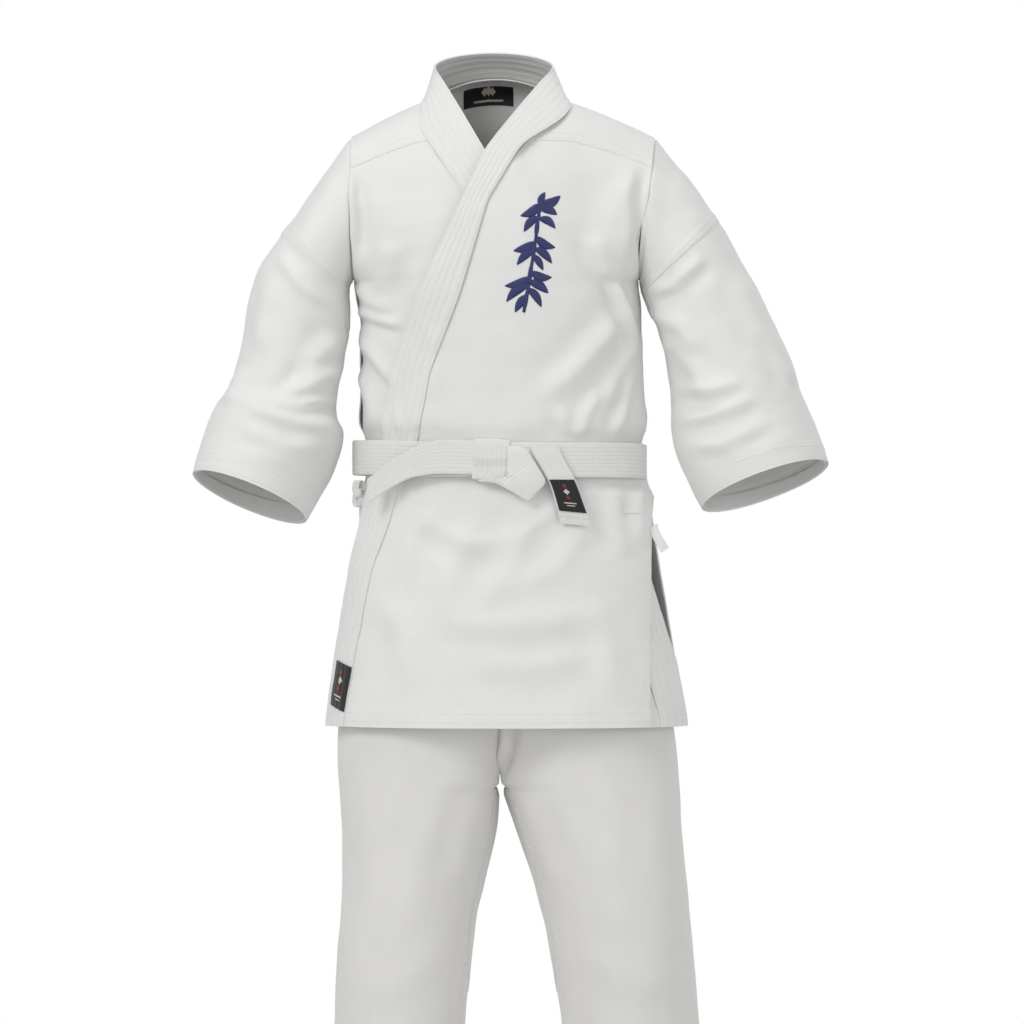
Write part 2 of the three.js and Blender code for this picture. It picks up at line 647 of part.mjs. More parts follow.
// ---- Trousers ----
const legColumns = 18;
const inseamHalfAngle = 20;
const inseamGapAngle = jointGap / 2; // a degree round a leg is somewhat over a millimetre
const gussetFootZ = -935;
const hipOpensZ = -560; // from here down to the crotch each half closes into a leg

// A point on one trouser half; turn is 0 at the outer side, positive in front, 180 at the inseam.
function legPoint(stations, turn, height) {
  const [outer, inner, front, back] = readTable(stations, height);
  const closing = smooth((hipOpensZ - height) / (hipOpensZ - crotchZ));
  const closed = Math.cos(radians(inseamHalfAngle));
  const ratio = height >= crotchZ ? closed * closing : 1;
  const centreShare = ratio / (1 + ratio);
  const widest = Math.acos(-ratio) / Math.PI;
  const span = height >= crotchZ ? widest / (1 - inseamHalfAngle / 180) : 1;
  const angle = radians(turn * span);
  const centre = mix(inner, outer, centreShare);
  const x = centre + (outer - centre) * Math.cos(angle);
  const deep = angle > 0 ? front : back;
  return new THREE.Vector3(x, -deep * Math.sin(angle), height);
}

function trouserLeg(word) {
  const stations = legStations[word];
  const flip = word === "left";
  const half = 180 - inseamHalfAngle - inseamGapAngle;
  const surface = (turn, height) => legPoint(stations, turn, height);
  const open = range(-half, half, legColumns - 2);
  const around = range(-180, 180, legColumns).slice(0, -1);
  const inseam = range(180 - inseamHalfAngle, 180 + inseamHalfAngle, 2);
  const gap = jointGap / 2;
  const hipTop = waistZ - waistbandHeight - gap;
  const hipRows = [crotchZ + gap, -722, -650, -575, -490, hipTop];
  const thighRows = [kneeZ + gap, -930, -850, crotchZ - gap];
  const gussetRows = [gussetFootZ + gap, -850, crotchZ - gap];
  const shinRows = [legHemZ, calfZ, kneeZ - gap];
  const lowInseam = [kneeZ + gap, gussetFootZ - gap];
  clothMesh(`hip_${word}`, trouserWhite, surface, open, hipRows, { flip });
  clothMesh(`thigh_${word}`, trouserWhite, surface, open, thighRows, { flip });
  clothMesh(`inseam_gusset_${word}`, trouserWhite, surface, inseam, gussetRows, { flip });
  clothMesh(`inseam_strip_${word}`, trouserWhite, surface, inseam, lowInseam, { flip });
  clothMesh(`lower_leg_${word}`, trouserWhite, surface, around, shinRows, { flip, closed: true });
  clothMesh(`leg_turnup_${word}`, trouserWhite, surface, around, [legHemZ, legHemZ + legTurnup], {
    flip,
    closed: true,
    offset: () => -clothThickness - layerGap,
  });
}

// A ring round the waist whose section is an outline of [outward offset, height below the top].
function waistRing(name, material, outline) {
  const turns = range(0, 2 * Math.PI, 36).slice(0, -1);
  const [rightX, rightInner, front] = readTable(legStations.right, waistZ);
  const [leftX] = readTable(legStations.left, waistZ);
  const positions = [];
  for (const turn of turns)
    for (const [out, drop] of outline) {
      const half = Math.cos(turn) > 0 ? leftX - rightInner : rightInner - rightX;
      const p = [rightInner + (half + out) * Math.cos(turn), -(front + out) * Math.sin(turn), waistZ - drop];
      positions.push(...p);
    }
  const n = outline.length;
  const at = (i, j) => (i % turns.length) * n + (j % n);
  const indices = [];
  for (let i = 0; i < turns.length; i++)
    for (let j = 0; j < n; j++) {
      const [a, b, c, d] = [at(i, j), at(i + 1, j), at(i + 1, j + 1), at(i, j + 1)];
      indices.push(a, c, b, a, d, c);
    }
  const geometry = new THREE.BufferGeometry();
  geometry.setAttribute("position", new THREE.Float32BufferAttribute(positions, 3));
  geometry.setIndex(indices);
  addMesh(name, material, geometry);
}

const elasticThickness = 1.8;
const elasticShort = 2; // it ends this far above the waistband's foot
function waistband() {
  const wall = clothThickness;
  const channel = elasticThickness + 2 * layerGap;
  const inner = wall + channel;
  const down = waistbandHeight;
  waistRing("waistband", trouserWhite, [
    [0, down], [0, 0], [-inner - wall, 0], [-inner - wall, down], [-inner, down], [-inner, wall],
    [-wall, wall], [-wall, down],
  ]);
  const face = -wall - layerGap;
  const top = wall + layerGap;
  const foot = down - elasticShort;
  const back = face - elasticThickness;
  waistRing("waist_elastic", elasticWhite, [[face, foot], [face, top], [back, top], [back, foot]]);
}

jacketFronts();
jacketBack();
collar();
lapels();
sleeve("right", -1);
sleeve("left", 1);
beltRing("belt_inner_wrap", beltInnerOffset);
beltRing("belt_outer_wrap", beltOuterOffset);
knotBand();
knotFold();
rightTail();
leftTail();
trims();
sideTies();
waistband();
trouserLeg("right");
trouserLeg("left");

export default uniform;
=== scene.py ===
# A martial arts uniform on an invisible wearer: crossed jacket, tied belt and loose trousers.
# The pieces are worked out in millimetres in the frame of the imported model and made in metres.
import math
import bpy
import numpy as np
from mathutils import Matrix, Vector
from mathutils.bvhtree import BVHTree


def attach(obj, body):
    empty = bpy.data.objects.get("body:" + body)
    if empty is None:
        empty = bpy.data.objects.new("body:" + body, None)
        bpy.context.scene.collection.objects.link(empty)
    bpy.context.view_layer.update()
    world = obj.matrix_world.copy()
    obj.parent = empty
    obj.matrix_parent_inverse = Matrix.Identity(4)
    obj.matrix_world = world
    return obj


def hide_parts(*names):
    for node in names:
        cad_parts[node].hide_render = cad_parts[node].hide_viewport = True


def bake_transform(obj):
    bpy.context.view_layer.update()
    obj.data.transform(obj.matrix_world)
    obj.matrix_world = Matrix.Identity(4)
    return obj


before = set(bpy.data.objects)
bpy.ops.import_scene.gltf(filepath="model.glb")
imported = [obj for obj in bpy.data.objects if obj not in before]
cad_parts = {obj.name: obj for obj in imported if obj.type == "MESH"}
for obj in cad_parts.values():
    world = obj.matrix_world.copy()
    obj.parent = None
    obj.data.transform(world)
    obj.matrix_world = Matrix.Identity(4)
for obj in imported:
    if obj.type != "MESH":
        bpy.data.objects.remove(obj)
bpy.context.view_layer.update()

mm = 0.001
scene = bpy.context.scene


# ---- Camera, floor and light ----
print("uniform: camera, floor and light")
shot = dict(distance=8.0, frameWidth=1.178, plane=-0.06, centreX=0.0105, centreZ=-0.474)
camera = bpy.data.objects.new("Camera", bpy.data.cameras.new("Camera"))
camera.location = (shot["centreX"], shot["plane"] - shot["distance"], shot["centreZ"])
camera.rotation_euler = (math.radians(90), 0, 0)
camera.data.sensor_width = 36
camera.data.lens = 36 * shot["distance"] / shot["frameWidth"]
camera.data.clip_end = 100
scene.collection.objects.link(camera)
scene.camera = camera
scene.view_settings.view_transform = "Standard"


def linearColour(code):  # an sRGB hex value as linear red, green, blue and alpha
    parts = [int(code[i:i + 2], 16) / 255 for i in (1, 3, 5)]
    return [p / 12.92 if p <= 0.04045 else ((p + 0.055) / 1.055) ** 2.4 for p in parts] + [1.0]


def addNode(tree, kind, settings=None, values=None, links=None):
    node = tree.nodes.new(kind)
    for key, value in (settings or {}).items():
        setattr(node, key, value)
    for key, value in (values or {}).items():
        node.inputs[key].default_value = value
    for key, (source, output) in (links or {}).items():
        tree.links.new(source.outputs[output], node.inputs[key])
    return node


# ---- Materials ----
print("uniform: materials")


def startMaterial(name):
    material = bpy.data.materials.new(name)
    material.use_nodes = True
    tree = material.node_tree
    tree.nodes.clear()
    return material, tree


def waveScale(pitchMm):  # a band wave repeats every 0.314 of its coordinate at scale 1
    return 0.31416 / (pitchMm * mm)


def wovenCloth(name, light, dark, pitchMm, bumpMm, roughness, sheen, slubMm=14.0):
    # Woven cotton: matt, a little fuzzy, with a plain weave and longer slubs along the warp.
    material, tree = startMaterial(name)
    uv = addNode(tree, "ShaderNodeUVMap", {"uv_map": "clothUV"})
    place = addNode(tree, "ShaderNodeTexCoord")
    warp = addNode(tree, "ShaderNodeTexWave", {"wave_type": "BANDS", "bands_direction": "X"},
                   {"Scale": waveScale(pitchMm), "Distortion": 0.6, "Detail": 1.0}, {"Vector": (uv, "UV")})
    weft = addNode(tree, "ShaderNodeTexWave", {"wave_type": "BANDS", "bands_direction": "Y"},
                   {"Scale": waveScale(pitchMm), "Distortion": 0.6, "Detail": 1.0}, {"Vector": (uv, "UV")})
    crossed = addNode(tree, "ShaderNodeMath", {"operation": "MULTIPLY"},
                      links={0: (warp, "Fac"), 1: (weft, "Fac")})
    longWays = addNode(tree, "ShaderNodeMapping", values={"Scale": (1.0, 0.22, 1.0)}, links={"Vector": (uv, "UV")})
    slub = addNode(tree, "ShaderNodeTexNoise", values={"Scale": 1 / (slubMm * mm), "Detail": 4.0, "Roughness": 0.65},
                   links={"Vector": (longWays, "Vector")})
    height = addNode(tree, "ShaderNodeMath", {"operation": "MULTIPLY_ADD"}, {1: 0.9},
                     {0: (slub, "Fac"), 2: (crossed, "Value")})
    bump = addNode(tree, "ShaderNodeBump", values={"Strength": 0.55, "Distance": bumpMm * mm},
                   links={"Height": (height, "Value")})
    cloud = addNode(tree, "ShaderNodeTexNoise", values={"Scale": 1 / (90 * mm), "Detail": 3.0},
                    links={"Vector": (place, "Object")})
    tone = addNode(tree, "ShaderNodeMath", {"operation": "MULTIPLY_ADD"}, {1: 0.5},
                   {0: (slub, "Fac"), 2: (cloud, "Fac")})
    ramp = addNode(tree, "ShaderNodeMapRange", values={"From Min": 0.45, "From Max": 1.05},
                   links={"Value": (tone, "Value")})
    colour = addNode(tree, "ShaderNodeMix", {"data_type": "RGBA"}, {6: linearColour(dark), 7: linearColour(light)},
                     {0: (ramp, "Result")})
    shader = addNode(tree, "ShaderNodeBsdfPrincipled",
                     values={"Roughness": roughness, "Sheen Weight": sheen, "Sheen Roughness": 0.5,
                             "Specular IOR Level": 0.25},
                     links={"Base Color": (colour, 2), "Normal": (bump, "Normal")})
    addNode(tree, "ShaderNodeOutputMaterial", links={"Surface": (shader, "BSDF")})
    return material


def threadWork(name, light, dark, pitchMm, angle, bumpMm, roughness, sheen):
    # Satin stitching: close parallel threads, so it shines in stripes across the shape. Its colour runs from light to
    # dark with each thread: painted sheen on the thread crowns and painted shade between them.
    material, tree = startMaterial(name)
    place = addNode(tree, "ShaderNodeTexCoord")
    turned = addNode(tree, "ShaderNodeMapping", values={"Rotation": (0.0, angle, 0.0)},
                     links={"Vector": (place, "Object")})
    threads = addNode(tree, "ShaderNodeTexWave", {"wave_type": "BANDS", "bands_direction": "X"},
                      {"Scale": waveScale(pitchMm), "Distortion": 1.2, "Detail": 1.0}, {"Vector": (turned, "Vector")})
    bump = addNode(tree, "ShaderNodeBump", values={"Strength": 0.7, "Distance": bumpMm * mm},
                   links={"Height": (threads, "Fac")})
    # painted sheen and shade: the colour follows the thread stripes, lighter on each crown and darker between
    colour = addNode(tree, "ShaderNodeMix", {"data_type": "RGBA"}, {6: linearColour(dark), 7: linearColour(light)},
                     {0: (threads, "Fac")})
    shader = addNode(tree, "ShaderNodeBsdfPrincipled",
                     values={"Roughness": roughness, "Sheen Weight": sheen, "Specular IOR Level": 0.4},
                     links={"Base Color": (colour, 2), "Normal": (bump, "Normal")})
    addNode(tree, "ShaderNodeOutputMaterial", links={"Surface": (shader, "BSDF")})
    return material


# The real weave is about 0.5 mm, too fine to show, so it is drawn near 2 mm and faint.
jacketCotton = wovenCloth("jacket cotton drill", "#ECECEA", "#E6E6E4", 1.9, 0.10, 0.92, 0.2)
trouserCotton = wovenCloth("trouser cotton drill", "#E6E5E2", "#DFDEDB", 1.9, 0.10, 0.93, 0.2)
bandCotton = wovenCloth("lapel cotton canvas", "#EBEBE9", "#E4E4E3", 1.7, 0.12, 0.9, 0.2, 9.0)
beltCotton = wovenCloth("belt cotton webbing", "#EBEBE8", "#E0E0DD", 2.3, 0.35, 0.88, 0.2, 5.0)
elasticKnit = wovenCloth("elastic knit", "#DADAD8", "#C8C8C6", 2.6, 0.3, 0.85, 0.1, 4.0)
labelSatin = threadWork("label satin black", "#1B1B21", "#121217", 1.1, 0.0, 0.05, 0.45, 0.1)
labelCream = threadWork("label thread cream", "#D9D2BE", "#BEB69F", 0.9, 0.4, 0.05, 0.5, 0.1)
labelRed = threadWork("label thread red", "#9C2A2C", "#7D2023", 0.9, 0.4, 0.05, 0.5, 0.1)
navyThread = threadWork("embroidery rayon navy", "#353C7A", "#232852", 1.3, 0.5, 0.25, 0.42, 0.15)
seamThread = threadWork("seam thread white cotton", "#F0F0ED", "#DEDEDB", 0.8, 0.3, 0.04, 0.7, 0.1)


# ---- Small helpers ----
def mix(a, b, k):
    return a + (b - a) * k


def smooth(k):
    k = np.clip(k, 0, 1)
    return k * k * (3 - 2 * k)


def bell(distance, width):
    return np.exp(-(distance / width) ** 2)


def column(table, index, height):
    rows = sorted(table)
    return np.interp(height, [r[0] for r in rows], [r[index] for r in rows])


def softColumn(table, index, height, reach=26):  # the same, with its corners rounded off
    steps = np.linspace(-1, 1, 9)
    weights = np.exp(-2 * steps ** 2)
    total = sum(w * column(table, index, height + reach * s) for s, w in zip(steps, weights))
    return total / weights.sum()


def lineX(line, height):
    return column(line, 1, height)


def unit(vectors):
    length = np.linalg.norm(vectors, axis=-1, keepdims=True)
    return vectors / np.maximum(length, 1e-9)


def gridNormals(grid, closed=False):
    if closed:
        along = np.roll(grid, -1, 1) - np.roll(grid, 1, 1)
    else:
        along = np.gradient(grid, axis=1)
    return unit(np.cross(along, np.gradient(grid, axis=0)))


def outwardNormals(grid, facing, closed=False):
    normals = gridNormals(grid, closed)
    if facing == "round":
        away = grid - grid.mean(1, keepdims=True)
    else:
        away = np.broadcast_to(np.array({"front": (0.0, -1, 0), "back": (0.0, 1, 0), "side": (1.0, 0, 0)}[facing]),
                               grid.shape)
    return normals if (normals * away).sum() > 0 else -normals


# Soft unevenness: a few long waves that never line up.
def ripple(a, b, size, seed):
    rng = np.random.RandomState(seed)
    total = 0
    for _ in range(7):
        turn, stretch, phase = rng.rand(3)
        length = size * (0.7 + stretch)
        total = total + np.sin(2 * math.pi * (a * math.cos(6.3 * turn) + b * math.sin(6.3 * turn)) / length
                               + 6.3 * phase)
    return total / 3.5


# Each fold is a line of x and height, its width, and how far it stands out. Its lee side dips.
def foldField(x, z, folds):
    total = np.zeros_like(x)
    for points, width, rise in folds:
        points = np.array(points, float)
        legs = np.diff(points, axis=0)
        lengths = np.linalg.norm(legs, axis=1)
        starts = np.concatenate([[0], np.cumsum(lengths)])
        best = np.full_like(x, 1e9)
        signed = np.zeros_like(x)
        place = np.zeros_like(x)
        for i, leg in enumerate(legs):
            dx, dz = x - points[i][0], z - points[i][1]
            k = np.clip((dx * leg[0] + dz * leg[1]) / lengths[i] ** 2, 0, 1)
            away = np.hypot(dx - k * leg[0], dz - k * leg[1])
            side = np.sign(dx * leg[1] - dz * leg[0])
            near = away < best
            best = np.where(near, away, best)
            signed = np.where(near, away * side, signed)
            place = np.where(near, (starts[i] + k * lengths[i]) / starts[-1], place)
        taper = smooth(place / 0.3) * smooth((1 - place) / 0.3)
        total += rise * taper * (bell(signed, width) - 0.55 * bell(signed - 1.7 * width, 1.3 * width))
    return total


def meshObject(name, vertices, faces, material, uv=None, classes=None):
    mesh = bpy.data.meshes.new(name)
    mesh.from_pydata([], [], [])
    vertices = np.asarray(vertices, np.float32).reshape(-1, 3) * mm
    faces = np.asarray(faces, np.int32)
    size = faces.shape[1]
    mesh.vertices.add(len(vertices))
    mesh.vertices.foreach_set("co", vertices.ravel())
    mesh.loops.add(faces.size)
    mesh.loops.foreach_set("vertex_index", faces.ravel())
    mesh.polygons.add(len(faces))
    mesh.polygons.foreach_set("loop_start", np.arange(len(faces), dtype=np.int32) * size)
    mesh.update(calc_edges=True)
    mesh.polygons.foreach_set("use_smooth", np.ones(len(faces), bool))
    if uv is not None:
        layer = mesh.uv_layers.new(name="clothUV")
        layer.data.foreach_set("uv", (np.asarray(uv, np.float32)[faces.ravel()] * mm).ravel())
    if classes is not None:  # edges between a broad face and a cut edge are sharp
        edges = np.zeros(faces.size, np.int32)
        mesh.loops.foreach_get("edge_index", edges)
        kinds = np.repeat(np.asarray(classes, np.int32), size)
        low = np.full(len(mesh.edges), 99)
        high = np.full(len(mesh.edges), -1)
        np.minimum.at(low, edges, kinds)
        np.maximum.at(high, edges, kinds)
        sharp = mesh.attributes.new("sharp_edge", "BOOLEAN", "EDGE")
        sharp.data.foreach_set("value", low != high)
    mesh.materials.append(material)
    mesh.validate()
    made = bpy.data.objects.new(name, mesh)
    scene.collection.objects.link(made)
    return made


# A closed thin cloth whose outer face is a grid of points, rows by columns.
def clothFrom(name, outer, thickness, material, facing, closed=False):
    normals = outwardNormals(outer, facing, closed)
    rows, columns = outer.shape[:2]
    inner = outer - normals * thickness
    count = rows * columns
    index = np.arange(count).reshape(rows, columns)
    if closed:
        index = np.concatenate([index, index[:, :1]], 1)
    a, b, c, d = index[:-1, :-1].ravel(), index[:-1, 1:].ravel(), index[1:, 1:].ravel(), index[1:, :-1].ravel()
    top = np.stack([a, b, c, d], 1)
    faces = [top, top[:, ::-1] + count]
    classes = [np.zeros(len(top)), np.ones(len(top))]

    def wall(line, kind):
        strip = np.stack([line[:-1], line[:-1] + count, line[1:] + count, line[1:]], 1)
        faces.append(strip)
        classes.append(np.full(len(strip), kind))
    wall(index[0], 2)
    wall(index[-1][::-1], 3)
    if not closed:
        wall(index[:, 0][::-1], 4)
        wall(index[:, -1], 5)
    faces = np.concatenate(faces)
    along = np.cumsum(np.linalg.norm(np.diff(outer, axis=1, prepend=outer[:, :1]), axis=2), 1)
    down = np.cumsum(np.linalg.norm(np.diff(outer, axis=0, prepend=outer[:1]), axis=2), 0)
    uv = np.stack([along.mean(0)[None, :] + 0 * down, down.mean(1)[:, None] + 0 * along], 2).reshape(-1, 2)
    first = outer[1, 1] - outer[0, 0]
    straight = np.cross(outer[0, 1] - outer[0, 0], outer[1, 0] - outer[0, 0])
    if np.dot(straight, normals[0, 0]) < 0 and np.dot(first, first) > 0:
        faces = faces[:, ::-1]
    return meshObject(name, np.concatenate([outer.reshape(-1, 3), inner.reshape(-1, 3)]), faces, material,
                      np.concatenate([uv, uv]), np.concatenate(classes))


# Puts a finished piece on its body. A piece meant to span a joint is only fixed where it is made. It hides the parts it
# stands for and prints its cloth over its flat size.
def fit(piece, on, replaces=(), cut=None, area=None):
    if isinstance(on, str):
        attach(piece, on)
    else:
        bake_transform(piece)
    if replaces:
        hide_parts(*replaces)
    if cut:
        share = sum(p.area for p in piece.data.polygons) / 2 / (area or cut[0] * cut[1])
        print(f"  {piece.name}: cloth over its flat size {share:.2f}")
    return piece


# ---- Stitches: one Geometry Nodes tree lays a short thread at every step of each line ----
def stitchTree():
    tree = bpy.data.node_groups.new("laidStitches", "GeometryNodeTree")
    face = tree.interface
    face.new_socket("Geometry", in_out="INPUT", socket_type="NodeSocketGeometry")
    for name, value in (("Pitch", 0.004), ("Length", 0.003), ("Width", 0.0007), ("Height", 0.0006)):
        socket = face.new_socket(name, in_out="INPUT", socket_type="NodeSocketFloat")
        socket.default_value = value
    face.new_socket("Thread", in_out="INPUT", socket_type="NodeSocketMaterial")
    face.new_socket("Geometry", in_out="OUTPUT", socket_type="NodeSocketGeometry")
    given = addNode(tree, "NodeGroupInput")
    curve = addNode(tree, "GeometryNodeMeshToCurve", links={"Mesh": (given, "Geometry")})
    steps = addNode(tree, "GeometryNodeResampleCurve", {"mode": "LENGTH"},
                    links={"Curve": (curve, "Curve"), "Length": (given, "Pitch")})
    shape = addNode(tree, "GeometryNodeMeshIcoSphere", values={"Radius": 0.5, "Subdivisions": 1})
    tangent = addNode(tree, "GeometryNodeInputTangent")
    normal = addNode(tree, "GeometryNodeInputNamedAttribute", {"data_type": "FLOAT_VECTOR"}, {"Name": "away"})
    turn = addNode(tree, "FunctionNodeAxesToRotation", {"primary_axis": "X", "secondary_axis": "Z"},
                   links={"Primary Axis": (tangent, "Tangent"), "Secondary Axis": (normal, "Attribute")})
    size = addNode(tree, "ShaderNodeCombineXYZ",
                   links={"X": (given, "Length"), "Y": (given, "Width"), "Z": (given, "Height")})
    laid = addNode(tree, "GeometryNodeInstanceOnPoints",
                   links={"Points": (steps, "Curve"), "Instance": (shape, "Mesh"), "Rotation": (turn, "Rotation"),
                          "Scale": (size, "Vector")})
    real = addNode(tree, "GeometryNodeRealizeInstances", links={"Geometry": (laid, "Instances")})
    coloured = addNode(tree, "GeometryNodeSetMaterial",
                       links={"Geometry": (real, "Geometry"), "Material": (given, "Thread")})
    addNode(tree, "NodeGroupOutput", links={"Geometry": (coloured, "Geometry")})
    return tree


laidStitches = stitchTree()


def sew(name, lines, pitch=4.2, length=3.1, width=0.75, height=0.7, thread=None):
    points, normals, edges = [], [], []
    for line, away in lines:
        start = len(points)
        points += [tuple(p * mm) for p in line]
        normals += [tuple(n) for n in away]
        edges += [(start + i, start + i + 1) for i in range(len(line) - 1)]
    mesh = bpy.data.meshes.new(name + "Lines")
    mesh.from_pydata(points, edges, [])
    layer = mesh.attributes.new("away", "FLOAT_VECTOR", "POINT")
    layer.data.foreach_set("vector", np.array(normals, np.float32).ravel())
    holder = bpy.data.objects.new(name + "Lines", mesh)
    scene.collection.objects.link(holder)
    modifier = holder.modifiers.new("stitches", "NODES")
    modifier.node_group = laidStitches
    inputs = {s.name: s.identifier for s in laidStitches.interface.items_tree if s.in_out == "INPUT"}
    for key, value in (("Pitch", pitch), ("Length", length), ("Width", width), ("Height", height)):
        modifier[inputs[key]] = value * mm
    modifier[inputs["Thread"]] = thread or seamThread
    bpy.context.view_layer.update()
    evaluated = holder.evaluated_get(bpy.context.evaluated_depsgraph_get())
    made = bpy.data.objects.new(name, bpy.data.meshes.new_from_object(evaluated))
    holder.modifiers.remove(modifier)
    bpy.data.objects.remove(holder)
    made.data.name = name
    made.data.polygons.foreach_set("use_smooth", np.ones(len(made.data.polygons), bool))
    scene.collection.objects.link(made)
    return made


def rowLine(outer, normals, row, lift=0.1, closed=False):
    line, away = outer[row], normals[row]
    if closed:
        line, away = np.concatenate([line, line[:1]]), np.concatenate([away, away[:1]])
    return line + away * lift, away


def columnLine(outer, normals, at, lift=0.1, start=0, stop=None):
    return outer[start:stop, at] + normals[start:stop, at] * lift, normals[start:stop, at]


def nearest(values, wanted):
    return int(np.abs(np.asarray(values) - wanted).argmin())


# ---- Shared sizes and lines, in millimetres, as the frame has them ----
layers = dict(cloth=1.6, band=2.0, belt=2.2, gap=0.9)
torso = dict(shoulderHalf=177, shoulderTip=-41, neckCentre=-8, neckHalf=86, armhole=78, armpit=-206, yokeSeam=-42,
             belt=-414, beltTilt=0.013, hem=-721, power=2.12, neckRise=32, neckDepth=60)
# height, side at -X, side at +X, depth in front, depth behind
torsoStations = [
    (-721, -200, 213, 136, 130), (-575, -180, 189, 121, 116), (-490, -167, 174, 110, 104),
    (-438, -158.5, 160.5, 101.5, 96.5), (-390, -158.5, 160.5, 101.5, 96), (-368, -162, 164, 104, 96),
    (-290, -166, 162, 110, 99), (-240, -168, 159, 113, 102), (-206, -173, 157, 114, 105),
]
overEdge = [(-721, -208), (-575, -187), (-448, -159), (-388, -132), (-263, -117), (-235, -100), (-102, -39),
            (-61.5, -19.5)]
overSeam = [(-721, -178), (-621, -162), (-528, -143), (-435, -108), (-384, -93), (-316, -82), (-224, -48),
            (-118, -17), (-63, 17), (-23, 47), (6, 78)]
underEdge = [(-710, 219), (-620, 190), (-552, 168), (-490, 148), (-438, 114), (-388, 106), (-263, 96), (-235, 84),
             (-102, 4), (-61.5, -19.5)]
underSeam = [(-710, 180), (-620, 153), (-552, 132), (-490, 112), (-438, 78), (-388, 70), (-316, 66), (-224, 30),
             (-107, -45), (-63, -76), (-33, -93), (-2, -94)]
underBandOffset = layers["gap"] + layers["band"]
overCloth = underBandOffset + layers["gap"] + layers["cloth"]
overBandOffset = overCloth + layers["gap"] + layers["band"]
beltInner = overCloth + layers["gap"] + layers["belt"] + 1.4 + layers["gap"] + layers["belt"]
beltOuter = beltInner + layers["gap"] + layers["belt"]

# Folds across the front of the jacket: line of x and height, width, rise
frontFolds = [
    ([(-176, -238), (-146, -252), (-110, -262)], 6, 4.2),
    ([(-172, -206), (-152, -232), (-120, -244)], 8, 3.0),
    ([(-168, -78), (-160, -125), (-163, -190)], 8, -3.4),
    ([(-168, -268), (-144, -300), (-118, -334)], 8, 3.6),
    ([(-170, -300), (-152, -345), (-140, -385)], 8, 3.0),
    ([(-150, -225), (-132, -205), (-124, -160)], 12, 2.4),
    ([(124, -200), (138, -240), (153, -285)], 6, 5.0),
    ([(96, -150), (120, -196), (146, -214)], 9, 2.6),
    ([(150, -228), (118, -270), (70, -322), (30, -352)], 13, 3.4),
    ([(158, -262), (132, -318), (112, -362)], 10, 3.4),
    ([(150, -300), (140, -345), (122, -396)], 7, 3.2),
    ([(112, -330), (92, -362), (86, -394)], 7, 2.2),
    ([(60, -352), (74, -378), (96, -394)], 8, 2.0),
    ([(168, -66), (158, -108), (160, -150), (152, -205)], 9, -4.2),
    ([(150, -80), (128, -130), (120, -190)], 16, 2.2),
    ([(-150, -95), (-130, -150), (-134, -200)], 18, 2.0),
    ([(-78, -250), (-74, -300), (-80, -352)], 10, 1.6),
    ([(-60, -455), (-100, -500), (-118, -560)], 14, 2.6),
    ([(-20, -470), (-60, -540), (-70, -610)], 16, 2.6),
    ([(30, -470), (10, -540), (-30, -590)], 15, 2.6),
    ([(74, -462), (20, -500), (-60, -516)], 10, 2.0),
    ([(-112, -468), (-60, -500), (10, -530)], 11, 2.0),
    ([(104, -470), (60, -540), (-10, -572)], 13, 1.8),
    ([(120, -440), (126, -480), (140, -530)], 11, 2.8),
    ([(142, -438), (150, -470), (156, -520)], 9, 2.4),
    ([(-95, -590), (-20, -606), (60, -600), (130, -588)], 17, 3.0),
    ([(-60, -640), (30, -650), (110, -634)], 18, 2.4),
    ([(-140, -560), (-110, -620), (-104, -690)], 16, 2.4),
    ([(100, -560), (118, -630), (124, -700)], 16, 2.2),
]
backFolds = [
    ([(-150, -120), (-90, -190), (-40, -230)], 16, 3.2),
    ([(150, -120), (90, -195), (36, -240)], 16, 3.2),
    ([(-165, -215), (-120, -280), (-90, -350)], 12, 3.6),
    ([(160, -215), (122, -285), (96, -350)], 12, 3.6),
    ([(-60, -250), (-52, -320), (-60, -385)], 14, 3.0),
    ([(20, -240), (30, -320), (24, -388)], 15, 2.8),
    ([(-110, -445), (-120, -540), (-128, -660)], 17, 3.6),
    ([(-30, -445), (-38, -540), (-30, -680)], 19, 3.8),
    ([(60, -445), (66, -550), (78, -690)], 18, 3.6),
    ([(130, -450), (142, -560), (156, -680)], 16, 3.0),
]


def shoulderLine(x):
    neckSide = torso["neckCentre"] + np.sign(x) * torso["neckHalf"]
    outwards = (x - neckSide) / (np.sign(x) * torso["shoulderHalf"] - neckSide + 1e-9)
    return torso["shoulderTip"] * np.maximum(0, outwards) ** 1.15


def signedPower(value, power):
    return np.sign(value) * np.abs(value) ** power


